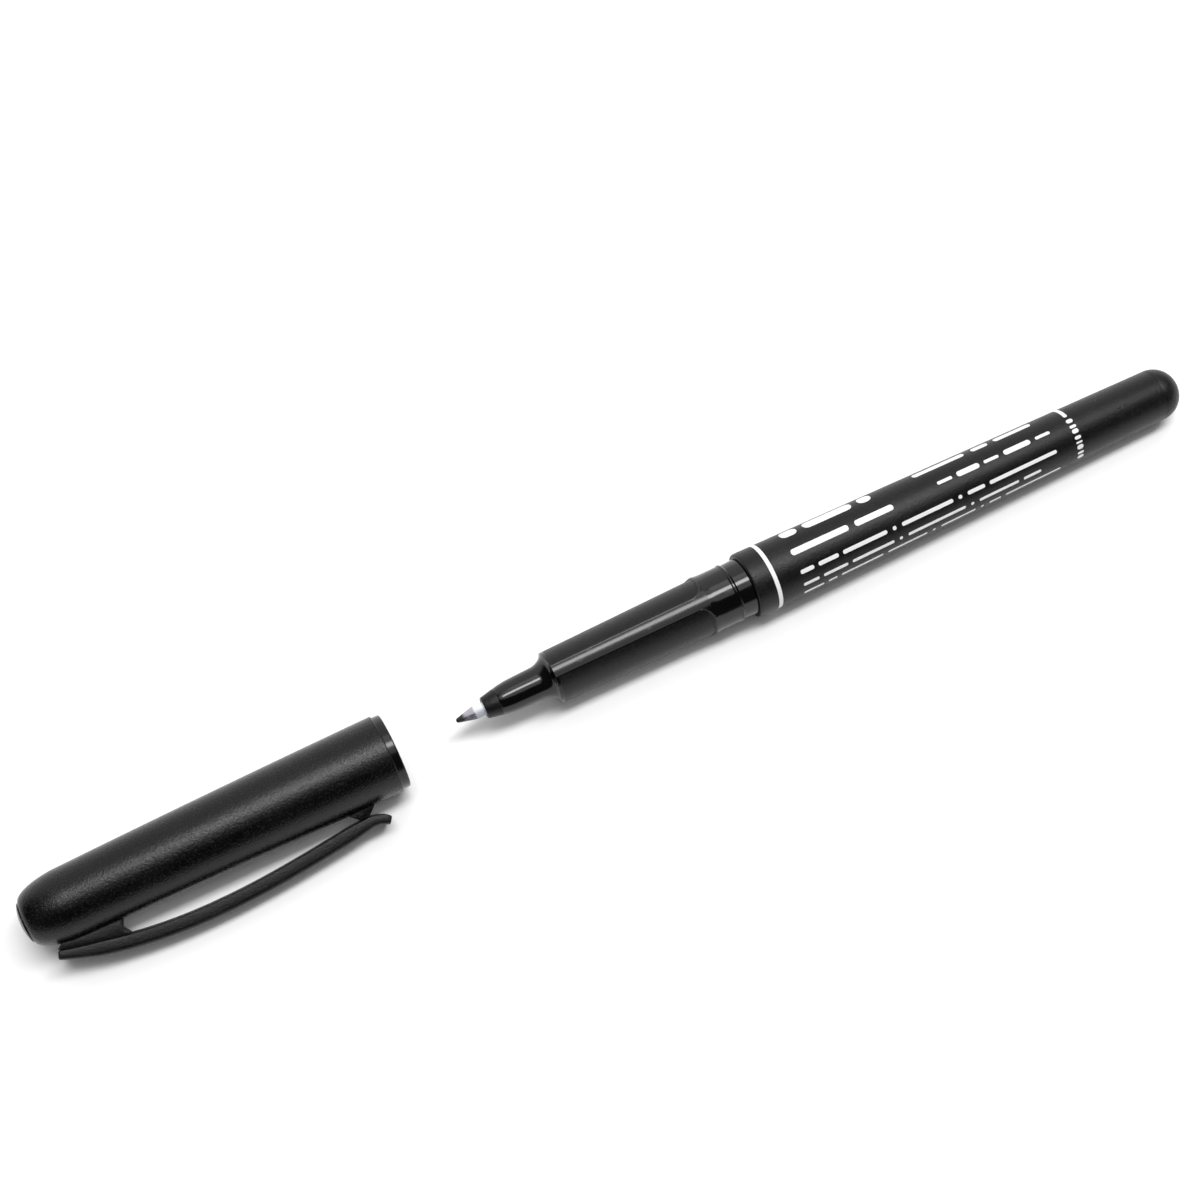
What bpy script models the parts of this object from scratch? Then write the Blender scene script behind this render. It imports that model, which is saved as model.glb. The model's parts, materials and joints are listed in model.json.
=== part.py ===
"""A slim permanent marker with its cap pulled off and laid ahead of the nib.

Metres, +Z up. The marker lies on its side: the lowest facet of the tapered barrel is on z = 0, the
nib points along -X and the pocket clip lies on the -Y side, where it stops the marker rolling.
Cap and pen share one axis, so the cap slides straight back over the grip until it meets the barrel.
"""
import math

import bmesh
import bpy

MM = 0.001

# Fits
SEAT_GAP = 0.3 * MM            # between pieces that are pressed or seated together
CAP_CLEARANCE = 0.3 * MM       # all round, between the grip and the cap's bore
NECK_CLEARANCE = 0.43 * MM     # all round, between the neck and the inner cap
FILM_GAP = 0.2 * MM            # between the ink reservoir and its film

# Nib, from its point backwards
NIB_RADIUS = 1.05 * MM
NIB_POINT_RADIUS = 0.4 * MM
NIB_CONE_LENGTH = 3.0 * MM
NIB_REACH = 4.45 * MM          # how far the nib stands out of the nose
NIB_IN_CORE = 6.0 * MM         # how deep its tail sits in the ink reservoir

# Nose, neck, grip, collar and spigot, one moulding
NOSE_FACE_RADIUS = 1.55 * MM
NOSE_LENGTH = 4.1 * MM
NECK_FRONT_RADIUS = 2.5 * MM
NECK_REAR_RADIUS = 2.67 * MM
NECK_LENGTH = 5.3 * MM
FLARE_LENGTH = 2.1 * MM        # hollow curve from the neck out to the grip's shoulder
GRIP_FRONT_RADIUS = 4.4 * MM
GRIP_REAR_RADIUS = 4.82 * MM
GRIP_LENGTH = 26.5 * MM
FACE_COUNT = 3                 # finger faces round the grip
FACE_RADIUS = 6.0 * MM         # they are flatter than the grip, but not flat
FACE_HALF_ANGLE = math.radians(46.7)
FACE_TURN = math.radians(18.3)  # middle of the first face, counted from -Y towards +Z
FACE_CORNER_RADIUS = 2.0 * MM
COLLAR_RADIUS = 4.7 * MM
COLLAR_LENGTH = 7.35 * MM
COLLAR_STEP_LENGTH = 0.6 * MM  # slope from the grip's rear ridge down to the collar
SNAP_FROM_BARREL = 2.75 * MM   # middle of the snap ridge that holds the cap
SNAP_WIDTH = 0.7 * MM
SNAP_HEIGHT = 0.12 * MM
SNAP_UNDERCUT = 0.12 * MM      # behind the ridge the collar is this much slimmer
SPIGOT_LENGTH = 12.0 * MM
SPIGOT_WALL = 0.7 * MM

# Ink reservoir and the film round it
CORE_RADIUS = 2.4 * MM
CORE_SEAT_WALL = 1.2 * MM      # from the end of the finger faces to the reservoir's seat
FILM_WALL = 0.3 * MM

# Barrel and its end plug
BARREL_LENGTH = 75.75 * MM
BARREL_FRONT_WALL = 1.18 * MM  # over the spigot's socket
BARREL_REAR_WALL = 1.1 * MM    # over the reservoir's bore
BARREL_EDGE = 0.35 * MM        # bevel round the front edge
PLUG_STEP = 0.05 * MM          # the plug's dome is this much slimmer than the barrel's end
PLUG_DOME_LENGTH = 4.05 * MM
PLUG_SHANK_LENGTH = 5.5 * MM

# Cap shell, from its mouth to its closed end
CAP_AHEAD = 10.25 * MM         # from the cap's mouth to the nib's point, as it lies
CAP_MOUTH_WALL = 0.75 * MM     # at the thin lip
CAP_LIP_LENGTH = 1.3 * MM
CAP_LIP_STEP = 0.3 * MM
CAP_BULGE = 0.12 * MM          # how far the cap's side swells past a straight cone
CAP_REAR_WALL = 0.92 * MM      # where the rounded end starts
CAP_ROUND_LENGTH = 6.8 * MM
CAP_END_WALL = 4.97 * MM
CAP_END_RIM = 0.75 * MM        # rim round the shank of the end disc

# Inner cap and end disc
NIB_SPACE = 2.5 * MM           # free room ahead of the nib in the closed cap
INNER_CAP_WALL = 1.1 * MM
INNER_CAP_FLOOR = 1.2 * MM
INNER_CAP_SHORT = 0.6 * MM     # its lip stops this far before the grip's flare
DISC_STEP = 0.1 * MM           # the end disc is this much smaller than the rim that holds it
DISC_DOME_LENGTH = 0.3 * MM
DISC_SHANK_RADIUS = 2.1 * MM
DISC_SHANK_LENGTH = 3.2 * MM

# Pocket clip
CLIP_BELOW_LEVEL = math.radians(22.5)  # how far the clip points below the horizontal
CLIP_WIDTH = 4.0 * MM
CLIP_THICKNESS = 2.2 * MM
CLIP_END_THICKNESS = 1.35 * MM
CLIP_TAPER_LENGTH = 6.0 * MM   # the strap thins towards both ends over this length
CLIP_SETBACK = 2.2 * MM        # from the cap's rear rim to the clip's rear end
CLIP_TIP_FROM_MOUTH = 4.9 * MM
CLIP_FLARE_LENGTH = 3.1 * MM   # the part of the tip that turns outwards
CLIP_LIFT_REAR = 1.45 * MM     # middle of the strap above the cap's wall, at three places
CLIP_LIFT_NECK = 2.16 * MM
CLIP_LIFT_TIP = 3.05 * MM
CLIP_PULL_REAR = 6.6 * MM      # handles of the bow's curve, above the cap's two end radii
CLIP_PULL_FRONT = 3.95 * MM
WEB_LENGTH = 10.25 * MM
WEB_WIDTH = 2.4 * MM
WEB_SINK = 0.35 * MM           # how far the web runs into the cap's wall
NUB_FROM_TIP = 1.3 * MM        # front foot of the nub on the cap, under the strap's narrowest place
NUB_LENGTH = 4.1 * MM
NUB_SLOPE_LENGTH = 1.3 * MM    # of each of its two ramps
NUB_WIDTH = 2.2 * MM

# Mesh fineness
SEGMENTS = 36
ARC_STEPS = 5
STRAP_STEPS = 12

# Stations along the pen, from the nib's point
NOSE_X = NIB_REACH
NECK_X = NOSE_X + NOSE_LENGTH
FLARE_X = NECK_X + NECK_LENGTH
GRIP_X = FLARE_X + FLARE_LENGTH
COLLAR_X = GRIP_X + GRIP_LENGTH
BARREL_X = COLLAR_X + COLLAR_LENGTH
COLLAR_END_X = BARREL_X - SEAT_GAP
SPIGOT_END_X = BARREL_X + SPIGOT_LENGTH
BARREL_END_X = BARREL_X + BARREL_LENGTH
PLUG_SHANK_X = BARREL_END_X - PLUG_SHANK_LENGTH
CORE_X = COLLAR_X + CORE_SEAT_WALL + SEAT_GAP
CORE_END_X = PLUG_SHANK_X - SEAT_GAP
NIB_END_X = CORE_X + NIB_IN_CORE

# Radii that follow from the fits
NIB_BORE = NIB_RADIUS + SEAT_GAP
FILM_INNER = CORE_RADIUS + FILM_GAP
FILM_OUTER = FILM_INNER + FILM_WALL
CORE_BORE = FILM_OUTER + SEAT_GAP
SPIGOT_RADIUS = CORE_BORE + SPIGOT_WALL
SOCKET_RADIUS = SPIGOT_RADIUS + SEAT_GAP
BARREL_FRONT_RADIUS = SOCKET_RADIUS + BARREL_FRONT_WALL
BARREL_REAR_RADIUS = CORE_BORE + BARREL_REAR_WALL
CAP_BORE = max(GRIP_REAR_RADIUS, COLLAR_RADIUS + SNAP_HEIGHT) + CAP_CLEARANCE
CAP_THROAT = GRIP_FRONT_RADIUS + CAP_CLEARANCE
CAP_LIP_RADIUS = CAP_BORE + CAP_MOUTH_WALL
CAP_MOUTH_RADIUS = CAP_LIP_RADIUS + CAP_LIP_STEP
INNER_CAP_BORE = max(NECK_FRONT_RADIUS, NECK_REAR_RADIUS) + NECK_CLEARANCE
INNER_CAP_RADIUS = INNER_CAP_BORE + INNER_CAP_WALL
CAP_SEAT = INNER_CAP_RADIUS + SEAT_GAP
CAP_REAR_RADIUS = CAP_SEAT + CAP_REAR_WALL
DISC_BORE = DISC_SHANK_RADIUS + SEAT_GAP
CAP_END_RADIUS = DISC_BORE + CAP_END_RIM

# Depths inside the cap, from its mouth; closed, the mouth stops where the collar ends
RIDGE_DEPTH = COLLAR_END_X - COLLAR_X + CAP_CLEARANCE
THROAT_DEPTH = COLLAR_END_X - GRIP_X + CAP_CLEARANCE
INNER_CAP_DEPTH = COLLAR_END_X - FLARE_X + INNER_CAP_SHORT
INNER_FLOOR_DEPTH = COLLAR_END_X + NIB_SPACE
INNER_END_DEPTH = INNER_FLOOR_DEPTH + INNER_CAP_FLOOR
SEAT_DEPTH = INNER_END_DEPTH + SEAT_GAP
CAP_BACK_DEPTH = SEAT_DEPTH + CAP_END_WALL
ROUND_DEPTH = CAP_BACK_DEPTH - CAP_ROUND_LENGTH
CLIP_REAR_DEPTH = CAP_BACK_DEPTH - CLIP_SETBACK
CLIP_NECK_DEPTH = CLIP_TIP_FROM_MOUTH + CLIP_FLARE_LENGTH
WEB_FRONT_DEPTH = CLIP_REAR_DEPTH - WEB_LENGTH
HINGE_DEPTH = WEB_FRONT_DEPTH - SEAT_GAP / 2

# How the pen lies: its lowest facet is level, so the axis dips by the barrel's taper
FACET = math.cos(math.pi / SEGMENTS)
TAPER = FACET * (BARREL_FRONT_RADIUS - BARREL_REAR_RADIUS) / (BARREL_LENGTH - BARREL_EDGE)
DIP = math.atan(TAPER)
REST_X = (BARREL_X + BARREL_EDGE + BARREL_END_X) / 2
REST_DROP = FACET * (BARREL_FRONT_RADIUS + BARREL_REAR_RADIUS) / 2


def clear_scene():
    for thing in list(bpy.data.objects):
        bpy.data.objects.remove(thing, do_unlink=True)


def plastic(name, colour, roughness):
    finish = bpy.data.materials.new(name)
    finish.use_nodes = True
    shader = finish.node_tree.nodes["Principled BSDF"]
    shader.inputs["Base Color"].default_value = (*colour, 1.0)
    shader.inputs["Roughness"].default_value = roughness
    shader.inputs["Metallic"].default_value = 0.0
    return finish


def add_empty(name, parent, location, rotation):
    thing = bpy.data.objects.new(name, None)
    bpy.context.scene.collection.objects.link(thing)
    thing.parent = parent
    thing.location = location
    thing.rotation_euler = rotation
    return thing


def add_object(name, shape, finish, parent):
    """Turn a bmesh into a named object under its parent, smooth but for its real edges."""
    bmesh.ops.recalc_face_normals(shape, faces=shape.faces[:])
    mesh = bpy.data.meshes.new(name)
    shape.to_mesh(mesh)
    shape.free()
    mesh.shade_smooth()
    mesh.set_sharp_from_angle(angle=math.radians(35.0))
    mesh.materials.append(finish)
    thing = bpy.data.objects.new(name, mesh)
    bpy.context.scene.collection.objects.link(thing)
    thing.parent = parent
    return thing


def turned(name, profile, finish, parent, ring):
    """Spin (x, radius) points round X; a ring closes on itself, a solid's profile ends on the axis."""
    shape = bmesh.new()
    start = math.pi / SEGMENTS - math.pi / 2
    points = [shape.verts.new((x, r * math.cos(start), r * math.sin(start))) for x, r in profile]
    pairs = list(zip(points, points[1:]))
    if ring:
        pairs.append((points[-1], points[0]))
    for first, second in pairs:
        shape.edges.new((first, second))
    bmesh.ops.spin(shape, geom=shape.verts[:] + shape.edges[:], cent=(0.0, 0.0, 0.0),
                   axis=(1.0, 0.0, 0.0), angle=math.tau, steps=SEGMENTS, use_merge=True)
    bmesh.ops.remove_doubles(shape, verts=shape.verts[:], dist=1e-7)
    return add_object(name, shape, finish, parent)


def slab(name, outline, sweep, finish, parent):
    """Fill a flat outline and extrude it along the vector sweep."""
    shape = bmesh.new()
    face = shape.faces.new([shape.verts.new(point) for point in outline])
    grown = bmesh.ops.extrude_face_region(shape, geom=[face])
    moved = [item for item in grown["geom"] if isinstance(item, bmesh.types.BMVert)]
    bmesh.ops.translate(shape, vec=sweep, verts=moved)
    return add_object(name, shape, finish, parent)


def combine(target, tool, operation):
    """Join or cut target with a helper solid that isn't a piece of its own."""
    tool.hide_render = True
    tool.display_type = "WIRE"
    step = target.modifiers.new(tool.name, "BOOLEAN")
    step.operation = operation
    step.solver = "EXACT"
    step.object = tool


def shares(steps):
    """Even steps from 0 to 1."""
    return [step / steps for step in range(steps + 1)]


def quarter(start, end):
    """Quarter ellipse that leaves start along X and meets end square to X; start itself is left out."""
    (x0, r0), (x1, r1) = start, end
    turns = [math.pi / 2 * share for share in shares(ARC_STEPS)[1:]]
    return [(x0 + (x1 - x0) * math.sin(a), r1 + (r0 - r1) * math.cos(a)) for a in turns]


def make_nib(finish, parent):
    """One fibre rod: a rounded point, a short cone, and a shank that runs back into the reservoir."""
    turns = [math.pi / 3 * share for share in shares(ARC_STEPS)]
    profile = [(NIB_POINT_RADIUS * (1 - math.cos(a)), NIB_POINT_RADIUS * math.sin(a)) for a in turns]
    profile += [(NIB_CONE_LENGTH, NIB_RADIUS), (NIB_END_X, NIB_RADIUS), (NIB_END_X, 0.0)]
    return turned("nib", profile, finish, parent, ring=False)


def make_grip_section(finish, parent):
    """Nose, neck, grip, collar and spigot in one moulding, with finger faces cut round the grip."""
    snap_x = BARREL_X - SNAP_FROM_BARREL
    seat_x = COLLAR_X + CORE_SEAT_WALL
    profile = [(NOSE_X, NOSE_FACE_RADIUS), (NECK_X, NECK_FRONT_RADIUS), (FLARE_X, NECK_REAR_RADIUS)]
    profile += quarter((FLARE_X, NECK_REAR_RADIUS), (GRIP_X, GRIP_FRONT_RADIUS))
    profile += [
        (COLLAR_X, GRIP_REAR_RADIUS),
        (COLLAR_X + COLLAR_STEP_LENGTH, COLLAR_RADIUS),
        (snap_x - SNAP_WIDTH / 2, COLLAR_RADIUS),
        (snap_x, COLLAR_RADIUS + SNAP_HEIGHT),
        (snap_x + SNAP_WIDTH / 2, COLLAR_RADIUS - SNAP_UNDERCUT),
        (COLLAR_END_X, COLLAR_RADIUS),
        (COLLAR_END_X, SPIGOT_RADIUS),
        (SPIGOT_END_X, SPIGOT_RADIUS),
        (SPIGOT_END_X, CORE_BORE),
        (seat_x, CORE_BORE),
        (seat_x, NIB_BORE),
        (NOSE_X, NIB_BORE),
    ]
    section = turned("grip_section", profile, finish, parent, ring=True)
    for index in range(FACE_COUNT):
        combine(section, make_face_cutter(index, finish, parent), "DIFFERENCE")
    return section


def face_height(radius):
    """How high the middle of a finger face stands over the axis, where the grip has this radius."""
    half_width = radius * math.sin(FACE_HALF_ANGLE)
    sag = FACE_RADIUS - math.sqrt(FACE_RADIUS ** 2 - half_width ** 2)
    return radius * math.cos(FACE_HALF_ANGLE) + sag


def make_face_cutter(index, finish, parent):
    """The space over one finger face: a slab with round rear corners, less the round form of the face."""
    half_width = GRIP_REAR_RADIUS * math.sin(FACE_HALF_ANGLE)
    corner_x = COLLAR_X - FACE_CORNER_RADIUS
    corner_y = half_width - FACE_CORNER_RADIUS
    turns = [math.pi / 2 * share for share in shares(ARC_STEPS)]
    side = [(FLARE_X, half_width)]
    side += [(corner_x + FACE_CORNER_RADIUS * math.sin(a),
              corner_y + FACE_CORNER_RADIUS * math.cos(a)) for a in turns]
    outline = [(x, y, 0.0) for x, y in side + [(x, -y) for x, y in reversed(side)]]
    cutter = slab(f"face_cutter_{index + 1}", outline, (0.0, 0.0, 2 * GRIP_REAR_RADIUS), finish, parent)
    form = make_face_form(index, finish, parent)
    combine(cutter, form, "DIFFERENCE")
    turn = FACE_TURN + math.tau * index / FACE_COUNT
    for tool in (cutter, form):
        tool.rotation_euler = (math.pi / 2 - turn, 0.0, 0.0)
    return cutter


def make_face_form(index, finish, parent):
    """What a finger face's cutter spares: a bar with a round top, which leans with the grip's taper."""
    lean = (face_height(GRIP_REAR_RADIUS) - face_height(GRIP_FRONT_RADIUS)) / GRIP_LENGTH
    start = NECK_X
    length = BARREL_X - start
    middle = face_height(GRIP_FRONT_RADIUS) - lean * (GRIP_X - start) - FACE_RADIUS
    turns = [math.pi / 2 * (share - 0.5) for share in shares(2 * ARC_STEPS)]
    arc = [(start, FACE_RADIUS * math.sin(a), middle + FACE_RADIUS * math.cos(a)) for a in turns]
    foot = [(start, y, -GRIP_REAR_RADIUS) for _, y, _ in (arc[-1], arc[0])]
    return slab(f"face_form_{index + 1}", arc + foot, (length, 0.0, lean * length), finish, parent)


def make_ink_reservoir(finish, parent):
    """The fibre bundle that holds the ink, with a blind hole that takes the nib's tail."""
    hole_end = NIB_END_X + SEAT_GAP
    profile = [(hole_end, 0.0), (hole_end, NIB_BORE), (CORE_X, NIB_BORE), (CORE_X, CORE_RADIUS),
               (CORE_END_X, CORE_RADIUS), (CORE_END_X, 0.0)]
    return turned("ink_reservoir", profile, finish, parent, ring=False)


def make_reservoir_film(finish, parent):
    """The film tube that wraps the fibre bundle."""
    profile = [(CORE_X, FILM_OUTER), (CORE_END_X, FILM_OUTER),
               (CORE_END_X, FILM_INNER), (CORE_X, FILM_INNER)]
    return turned("reservoir_film", profile, finish, parent, ring=True)


def make_barrel(finish, parent):
    """The tapered tube: a socket for the spigot in front, then a bore for the reservoir."""
    socket_end = SPIGOT_END_X + SEAT_GAP
    profile = [
        (BARREL_X, BARREL_FRONT_RADIUS - BARREL_EDGE),
        (BARREL_X + BARREL_EDGE, BARREL_FRONT_RADIUS),
        (BARREL_END_X, BARREL_REAR_RADIUS),
        (BARREL_END_X, CORE_BORE),
        (socket_end, CORE_BORE),
        (socket_end, SOCKET_RADIUS),
        (BARREL_X, SOCKET_RADIUS),
    ]
    return turned("barrel", profile, finish, parent, ring=True)


def make_end_plug(finish, parent):
    """The domed plug that closes the barrel behind the reservoir."""
    base_x = BARREL_END_X + SEAT_GAP
    shank_radius = CORE_BORE - SEAT_GAP
    rim = (base_x, BARREL_REAR_RADIUS - PLUG_STEP)
    profile = [(PLUG_SHANK_X, 0.0), (PLUG_SHANK_X, shank_radius), (base_x, shank_radius), rim]
    profile += quarter(rim, (base_x + PLUG_DOME_LENGTH, 0.0))
    return turned("end_plug", profile, finish, parent, ring=False)


def cap_wall(depth):
    """Outer radius of the cap at a depth from its mouth: a swelling side, then a rounded end."""
    if depth > ROUND_DEPTH:
        share = (depth - ROUND_DEPTH) / CAP_ROUND_LENGTH
        return CAP_END_RADIUS + (CAP_REAR_RADIUS - CAP_END_RADIUS) * math.sqrt(1 - share * share)
    share = (depth - CAP_LIP_LENGTH) / (ROUND_DEPTH - CAP_LIP_LENGTH)
    straight = CAP_MOUTH_RADIUS + (CAP_REAR_RADIUS - CAP_MOUTH_RADIUS) * share
    return straight + 4 * CAP_BULGE * share * (1 - share)


def from_mouth(profile):
    """Turn (depth, radius) points into (x, radius) points of the cap, whose mouth is at x = 0."""
    return [(-depth, radius) for depth, radius in profile]


def make_cap_shell(finish, parent, clip_frame):
    """The cap's outer shell, with the web, the fixed root and the nub of its clip moulded on."""
    side = [CAP_LIP_LENGTH + (ROUND_DEPTH - CAP_LIP_LENGTH) * share for share in shares(ARC_STEPS)]
    profile = [(0.0, CAP_LIP_RADIUS), (CAP_LIP_LENGTH, CAP_LIP_RADIUS)]
    profile += [(depth, cap_wall(depth)) for depth in side]
    profile += quarter((ROUND_DEPTH, CAP_REAR_RADIUS), (CAP_BACK_DEPTH, CAP_END_RADIUS))
    profile += [(CAP_BACK_DEPTH, DISC_BORE), (SEAT_DEPTH, DISC_BORE), (SEAT_DEPTH, CAP_SEAT),
                (INNER_CAP_DEPTH, CAP_SEAT), (THROAT_DEPTH, CAP_THROAT),
                (RIDGE_DEPTH, CAP_BORE), (0.0, CAP_BORE)]
    shell = turned("cap_shell", from_mouth(profile), finish, parent, ring=True)
    combine(shell, make_clip_web(finish, clip_frame), "UNION")
    root = strap_slab("clip_root", CLIP_REAR_DEPTH, WEB_FRONT_DEPTH, finish, clip_frame)
    combine(shell, root, "UNION")
    combine(shell, make_clip_nub(finish, clip_frame), "UNION")
    return shell


def make_inner_cap(finish, parent):
    """The cup that seals round the neck and keeps the nib from drying."""
    profile = [(INNER_FLOOR_DEPTH, 0.0), (INNER_FLOOR_DEPTH, INNER_CAP_BORE),
               (INNER_CAP_DEPTH, INNER_CAP_BORE), (INNER_CAP_DEPTH, INNER_CAP_RADIUS),
               (INNER_END_DEPTH, INNER_CAP_RADIUS), (INNER_END_DEPTH, 0.0)]
    return turned("inner_cap", from_mouth(profile), finish, parent, ring=False)


def make_cap_end_disc(finish, parent):
    """The domed disc that closes the end of the cap."""
    base = CAP_BACK_DEPTH + SEAT_GAP
    shank = CAP_BACK_DEPTH - DISC_SHANK_LENGTH
    rim = (base, CAP_END_RADIUS - DISC_STEP)
    profile = [(shank, 0.0), (shank, DISC_SHANK_RADIUS), (base, DISC_SHANK_RADIUS), rim]
    profile += quarter(rim, (base + DISC_DOME_LENGTH, 0.0))
    return turned("cap_end_disc", from_mouth(profile), finish, parent, ring=False)


def clip_height(depth):
    """Height of the middle of the strap over the cap's axis: one cubic bow, then a flared tip."""
    rear = cap_wall(CLIP_REAR_DEPTH) + CLIP_LIFT_REAR
    neck = cap_wall(CLIP_NECK_DEPTH) + CLIP_LIFT_NECK
    rear_pull = CAP_REAR_RADIUS + CLIP_PULL_REAR
    front_pull = CAP_MOUTH_RADIUS + CLIP_PULL_FRONT
    length = CLIP_REAR_DEPTH - CLIP_NECK_DEPTH
    if depth < CLIP_NECK_DEPTH:
        run = CLIP_NECK_DEPTH - depth
        slope = 3 * (neck - front_pull) / length
        tip = cap_wall(CLIP_TIP_FROM_MOUTH) + CLIP_LIFT_TIP
        curl = (tip - neck - slope * CLIP_FLARE_LENGTH) / CLIP_FLARE_LENGTH ** 2
        return neck + slope * run + curl * run * run
    share = (CLIP_REAR_DEPTH - depth) / length
    rest = 1 - share
    bow = 3 * rest * share * (rest * rear_pull + share * front_pull)
    return rest ** 3 * rear + bow + share ** 3 * neck


def clip_thickness(depth):
    """Thickness of the strap, which thins towards its two ends."""
    to_end = max(0.0, min(CLIP_REAR_DEPTH - depth, depth - CLIP_TIP_FROM_MOUTH))
    share = min(1.0, to_end / CLIP_TAPER_LENGTH)
    return CLIP_END_THICKNESS + (CLIP_THICKNESS - CLIP_END_THICKNESS) * share


def strap_slab(name, start, end, finish, parent, hinge=(0.0, 0.0)):
    """A stretch of the clip's strap between two depths, drawn from its side and extruded to its width."""
    step = (end - start) / STRAP_STEPS
    upper = []
    lower = []
    for index in range(STRAP_STEPS + 1):
        depth = start + step * index
        slope = (clip_height(depth + step / 2) - clip_height(depth - step / 2)) / step
        reach = clip_thickness(depth) / 2 / math.hypot(1.0, slope)
        height = clip_height(depth)
        upper.append((depth - slope * reach, height + reach))
        lower.append((depth + slope * reach, height - reach))
    sides = upper + lower[::-1]
    outline = [(hinge[0] - depth, -CLIP_WIDTH / 2, height - hinge[1]) for depth, height in sides]
    return slab(name, outline, (0.0, CLIP_WIDTH, 0.0), finish, parent)


def make_clip_web(finish, parent):
    """The narrow web that carries the clip's root on the cap."""
    depths = [CLIP_REAR_DEPTH + (WEB_FRONT_DEPTH - CLIP_REAR_DEPTH) * share
              for share in shares(ARC_STEPS)][1:]
    top = [(depth, clip_height(depth)) for depth in depths]
    foot = [(depth, cap_wall(depth) - WEB_SINK) for depth in reversed(depths)]
    outline = [(-depth, -WEB_WIDTH / 2, height) for depth, height in top + foot]
    return slab("clip_web", outline, (0.0, WEB_WIDTH, 0.0), finish, parent)


def make_clip_nub(finish, parent):
    """The nub on the cap's wall that nearly touches the strap, so that the clip pinches cloth there."""
    front = CLIP_TIP_FROM_MOUTH + NUB_FROM_TIP
    rear = front + NUB_LENGTH
    crest = [front + NUB_SLOPE_LENGTH, rear - NUB_SLOPE_LENGTH]
    line = [(front, cap_wall(front) - WEB_SINK), (front, cap_wall(front))]
    line += [(depth, clip_height(depth) - clip_thickness(depth) / 2 - SEAT_GAP) for depth in crest]
    line += [(rear, cap_wall(rear)), (rear, cap_wall(rear) - WEB_SINK)]
    outline = [(-depth, -NUB_WIDTH / 2, height) for depth, height in line]
    return slab("clip_nub", outline, (0.0, NUB_WIDTH, 0.0), finish, parent)


def make_clip_strap(finish, parent, hinge):
    """The springy free length of the clip."""
    return strap_slab("clip_strap", hinge[0] - SEAT_GAP / 2, CLIP_TIP_FROM_MOUTH, finish, parent, hinge)


def main():
    clear_scene()
    matt_black = plastic("matt_black", (0.022, 0.022, 0.024), 0.5)
    gloss_black = plastic("gloss_black", (0.012, 0.012, 0.013), 0.22)
    nib_fibre = plastic("nib_fibre", (0.55, 0.56, 0.58), 0.55)
    ink_fibre = plastic("ink_fibre", (0.03, 0.03, 0.035), 0.9)
    clear_film = plastic("clear_film", (0.8, 0.82, 0.84), 0.25)

    rest = (REST_DROP * math.sin(DIP) - REST_X * math.cos(DIP), 0.0,
            REST_DROP * math.cos(DIP) + REST_X * math.sin(DIP))
    pen_frame = add_empty("pen_frame", None, rest, (0.0, DIP, 0.0))
    cap_frame = add_empty("cap_frame", pen_frame, (-CAP_AHEAD, 0.0, 0.0), (0.0, 0.0, 0.0))
    clip_frame = add_empty("clip_frame", cap_frame, (0.0, 0.0, 0.0),
                           (math.pi / 2 + CLIP_BELOW_LEVEL, 0.0, 0.0))
    hinge = (HINGE_DEPTH, clip_height(HINGE_DEPTH))
    clip_hinge = add_empty("clip_hinge", clip_frame, (-hinge[0], 0.0, hinge[1]), (0.0, 0.0, 0.0))

    make_nib(nib_fibre, pen_frame)
    make_grip_section(gloss_black, pen_frame)
    make_ink_reservoir(ink_fibre, pen_frame)
    make_reservoir_film(clear_film, pen_frame)
    make_barrel(matt_black, pen_frame)
    make_end_plug(matt_black, pen_frame)
    make_cap_shell(matt_black, cap_frame, clip_frame)
    make_inner_cap(gloss_black, cap_frame)
    make_cap_end_disc(matt_black, cap_frame)
    make_clip_strap(matt_black, clip_hinge, hinge)


main()
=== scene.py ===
# %% [markdown]
# A slim permanent marker lies on a white table with its cap pulled off and laid ahead of the nib.
# The measured solids come in as a fixed frame. This lesson dresses them: every solid gets a finer mesh
# turned or extruded to nearly the same sizes, and a finish made of nodes. Loading comes first, because
# the places where the pieces start, end and move are read from the frame.

# %% Load the frame
import json
import math

import bmesh
import bpy
from mathutils import Matrix, Vector


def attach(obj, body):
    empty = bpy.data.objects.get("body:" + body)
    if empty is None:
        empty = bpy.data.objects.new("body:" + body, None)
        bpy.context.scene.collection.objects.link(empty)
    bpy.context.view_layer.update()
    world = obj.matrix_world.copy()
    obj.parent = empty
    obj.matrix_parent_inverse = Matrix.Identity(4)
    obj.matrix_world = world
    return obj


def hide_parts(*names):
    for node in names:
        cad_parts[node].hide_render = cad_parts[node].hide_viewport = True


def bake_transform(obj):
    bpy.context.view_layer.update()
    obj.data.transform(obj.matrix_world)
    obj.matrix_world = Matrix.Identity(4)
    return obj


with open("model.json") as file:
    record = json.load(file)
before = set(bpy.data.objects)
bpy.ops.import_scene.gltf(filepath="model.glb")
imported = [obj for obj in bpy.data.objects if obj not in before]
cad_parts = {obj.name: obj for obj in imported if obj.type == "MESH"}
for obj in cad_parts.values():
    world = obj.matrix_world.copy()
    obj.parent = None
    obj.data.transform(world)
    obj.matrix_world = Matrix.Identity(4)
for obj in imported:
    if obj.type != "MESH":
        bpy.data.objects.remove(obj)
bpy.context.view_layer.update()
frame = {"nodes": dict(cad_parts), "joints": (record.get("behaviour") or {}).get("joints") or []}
MM = 0.001

# %% [markdown]
# The marker lies a little nose-up, because its barrel tapers and rests on its side. Modelling along a
# tilted line is awkward, so each piece is made in the marker's own frame, with X along its axis from
# the nib's point, and moved into place once at the end. The axis is the direction in which the cap slides.

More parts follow.
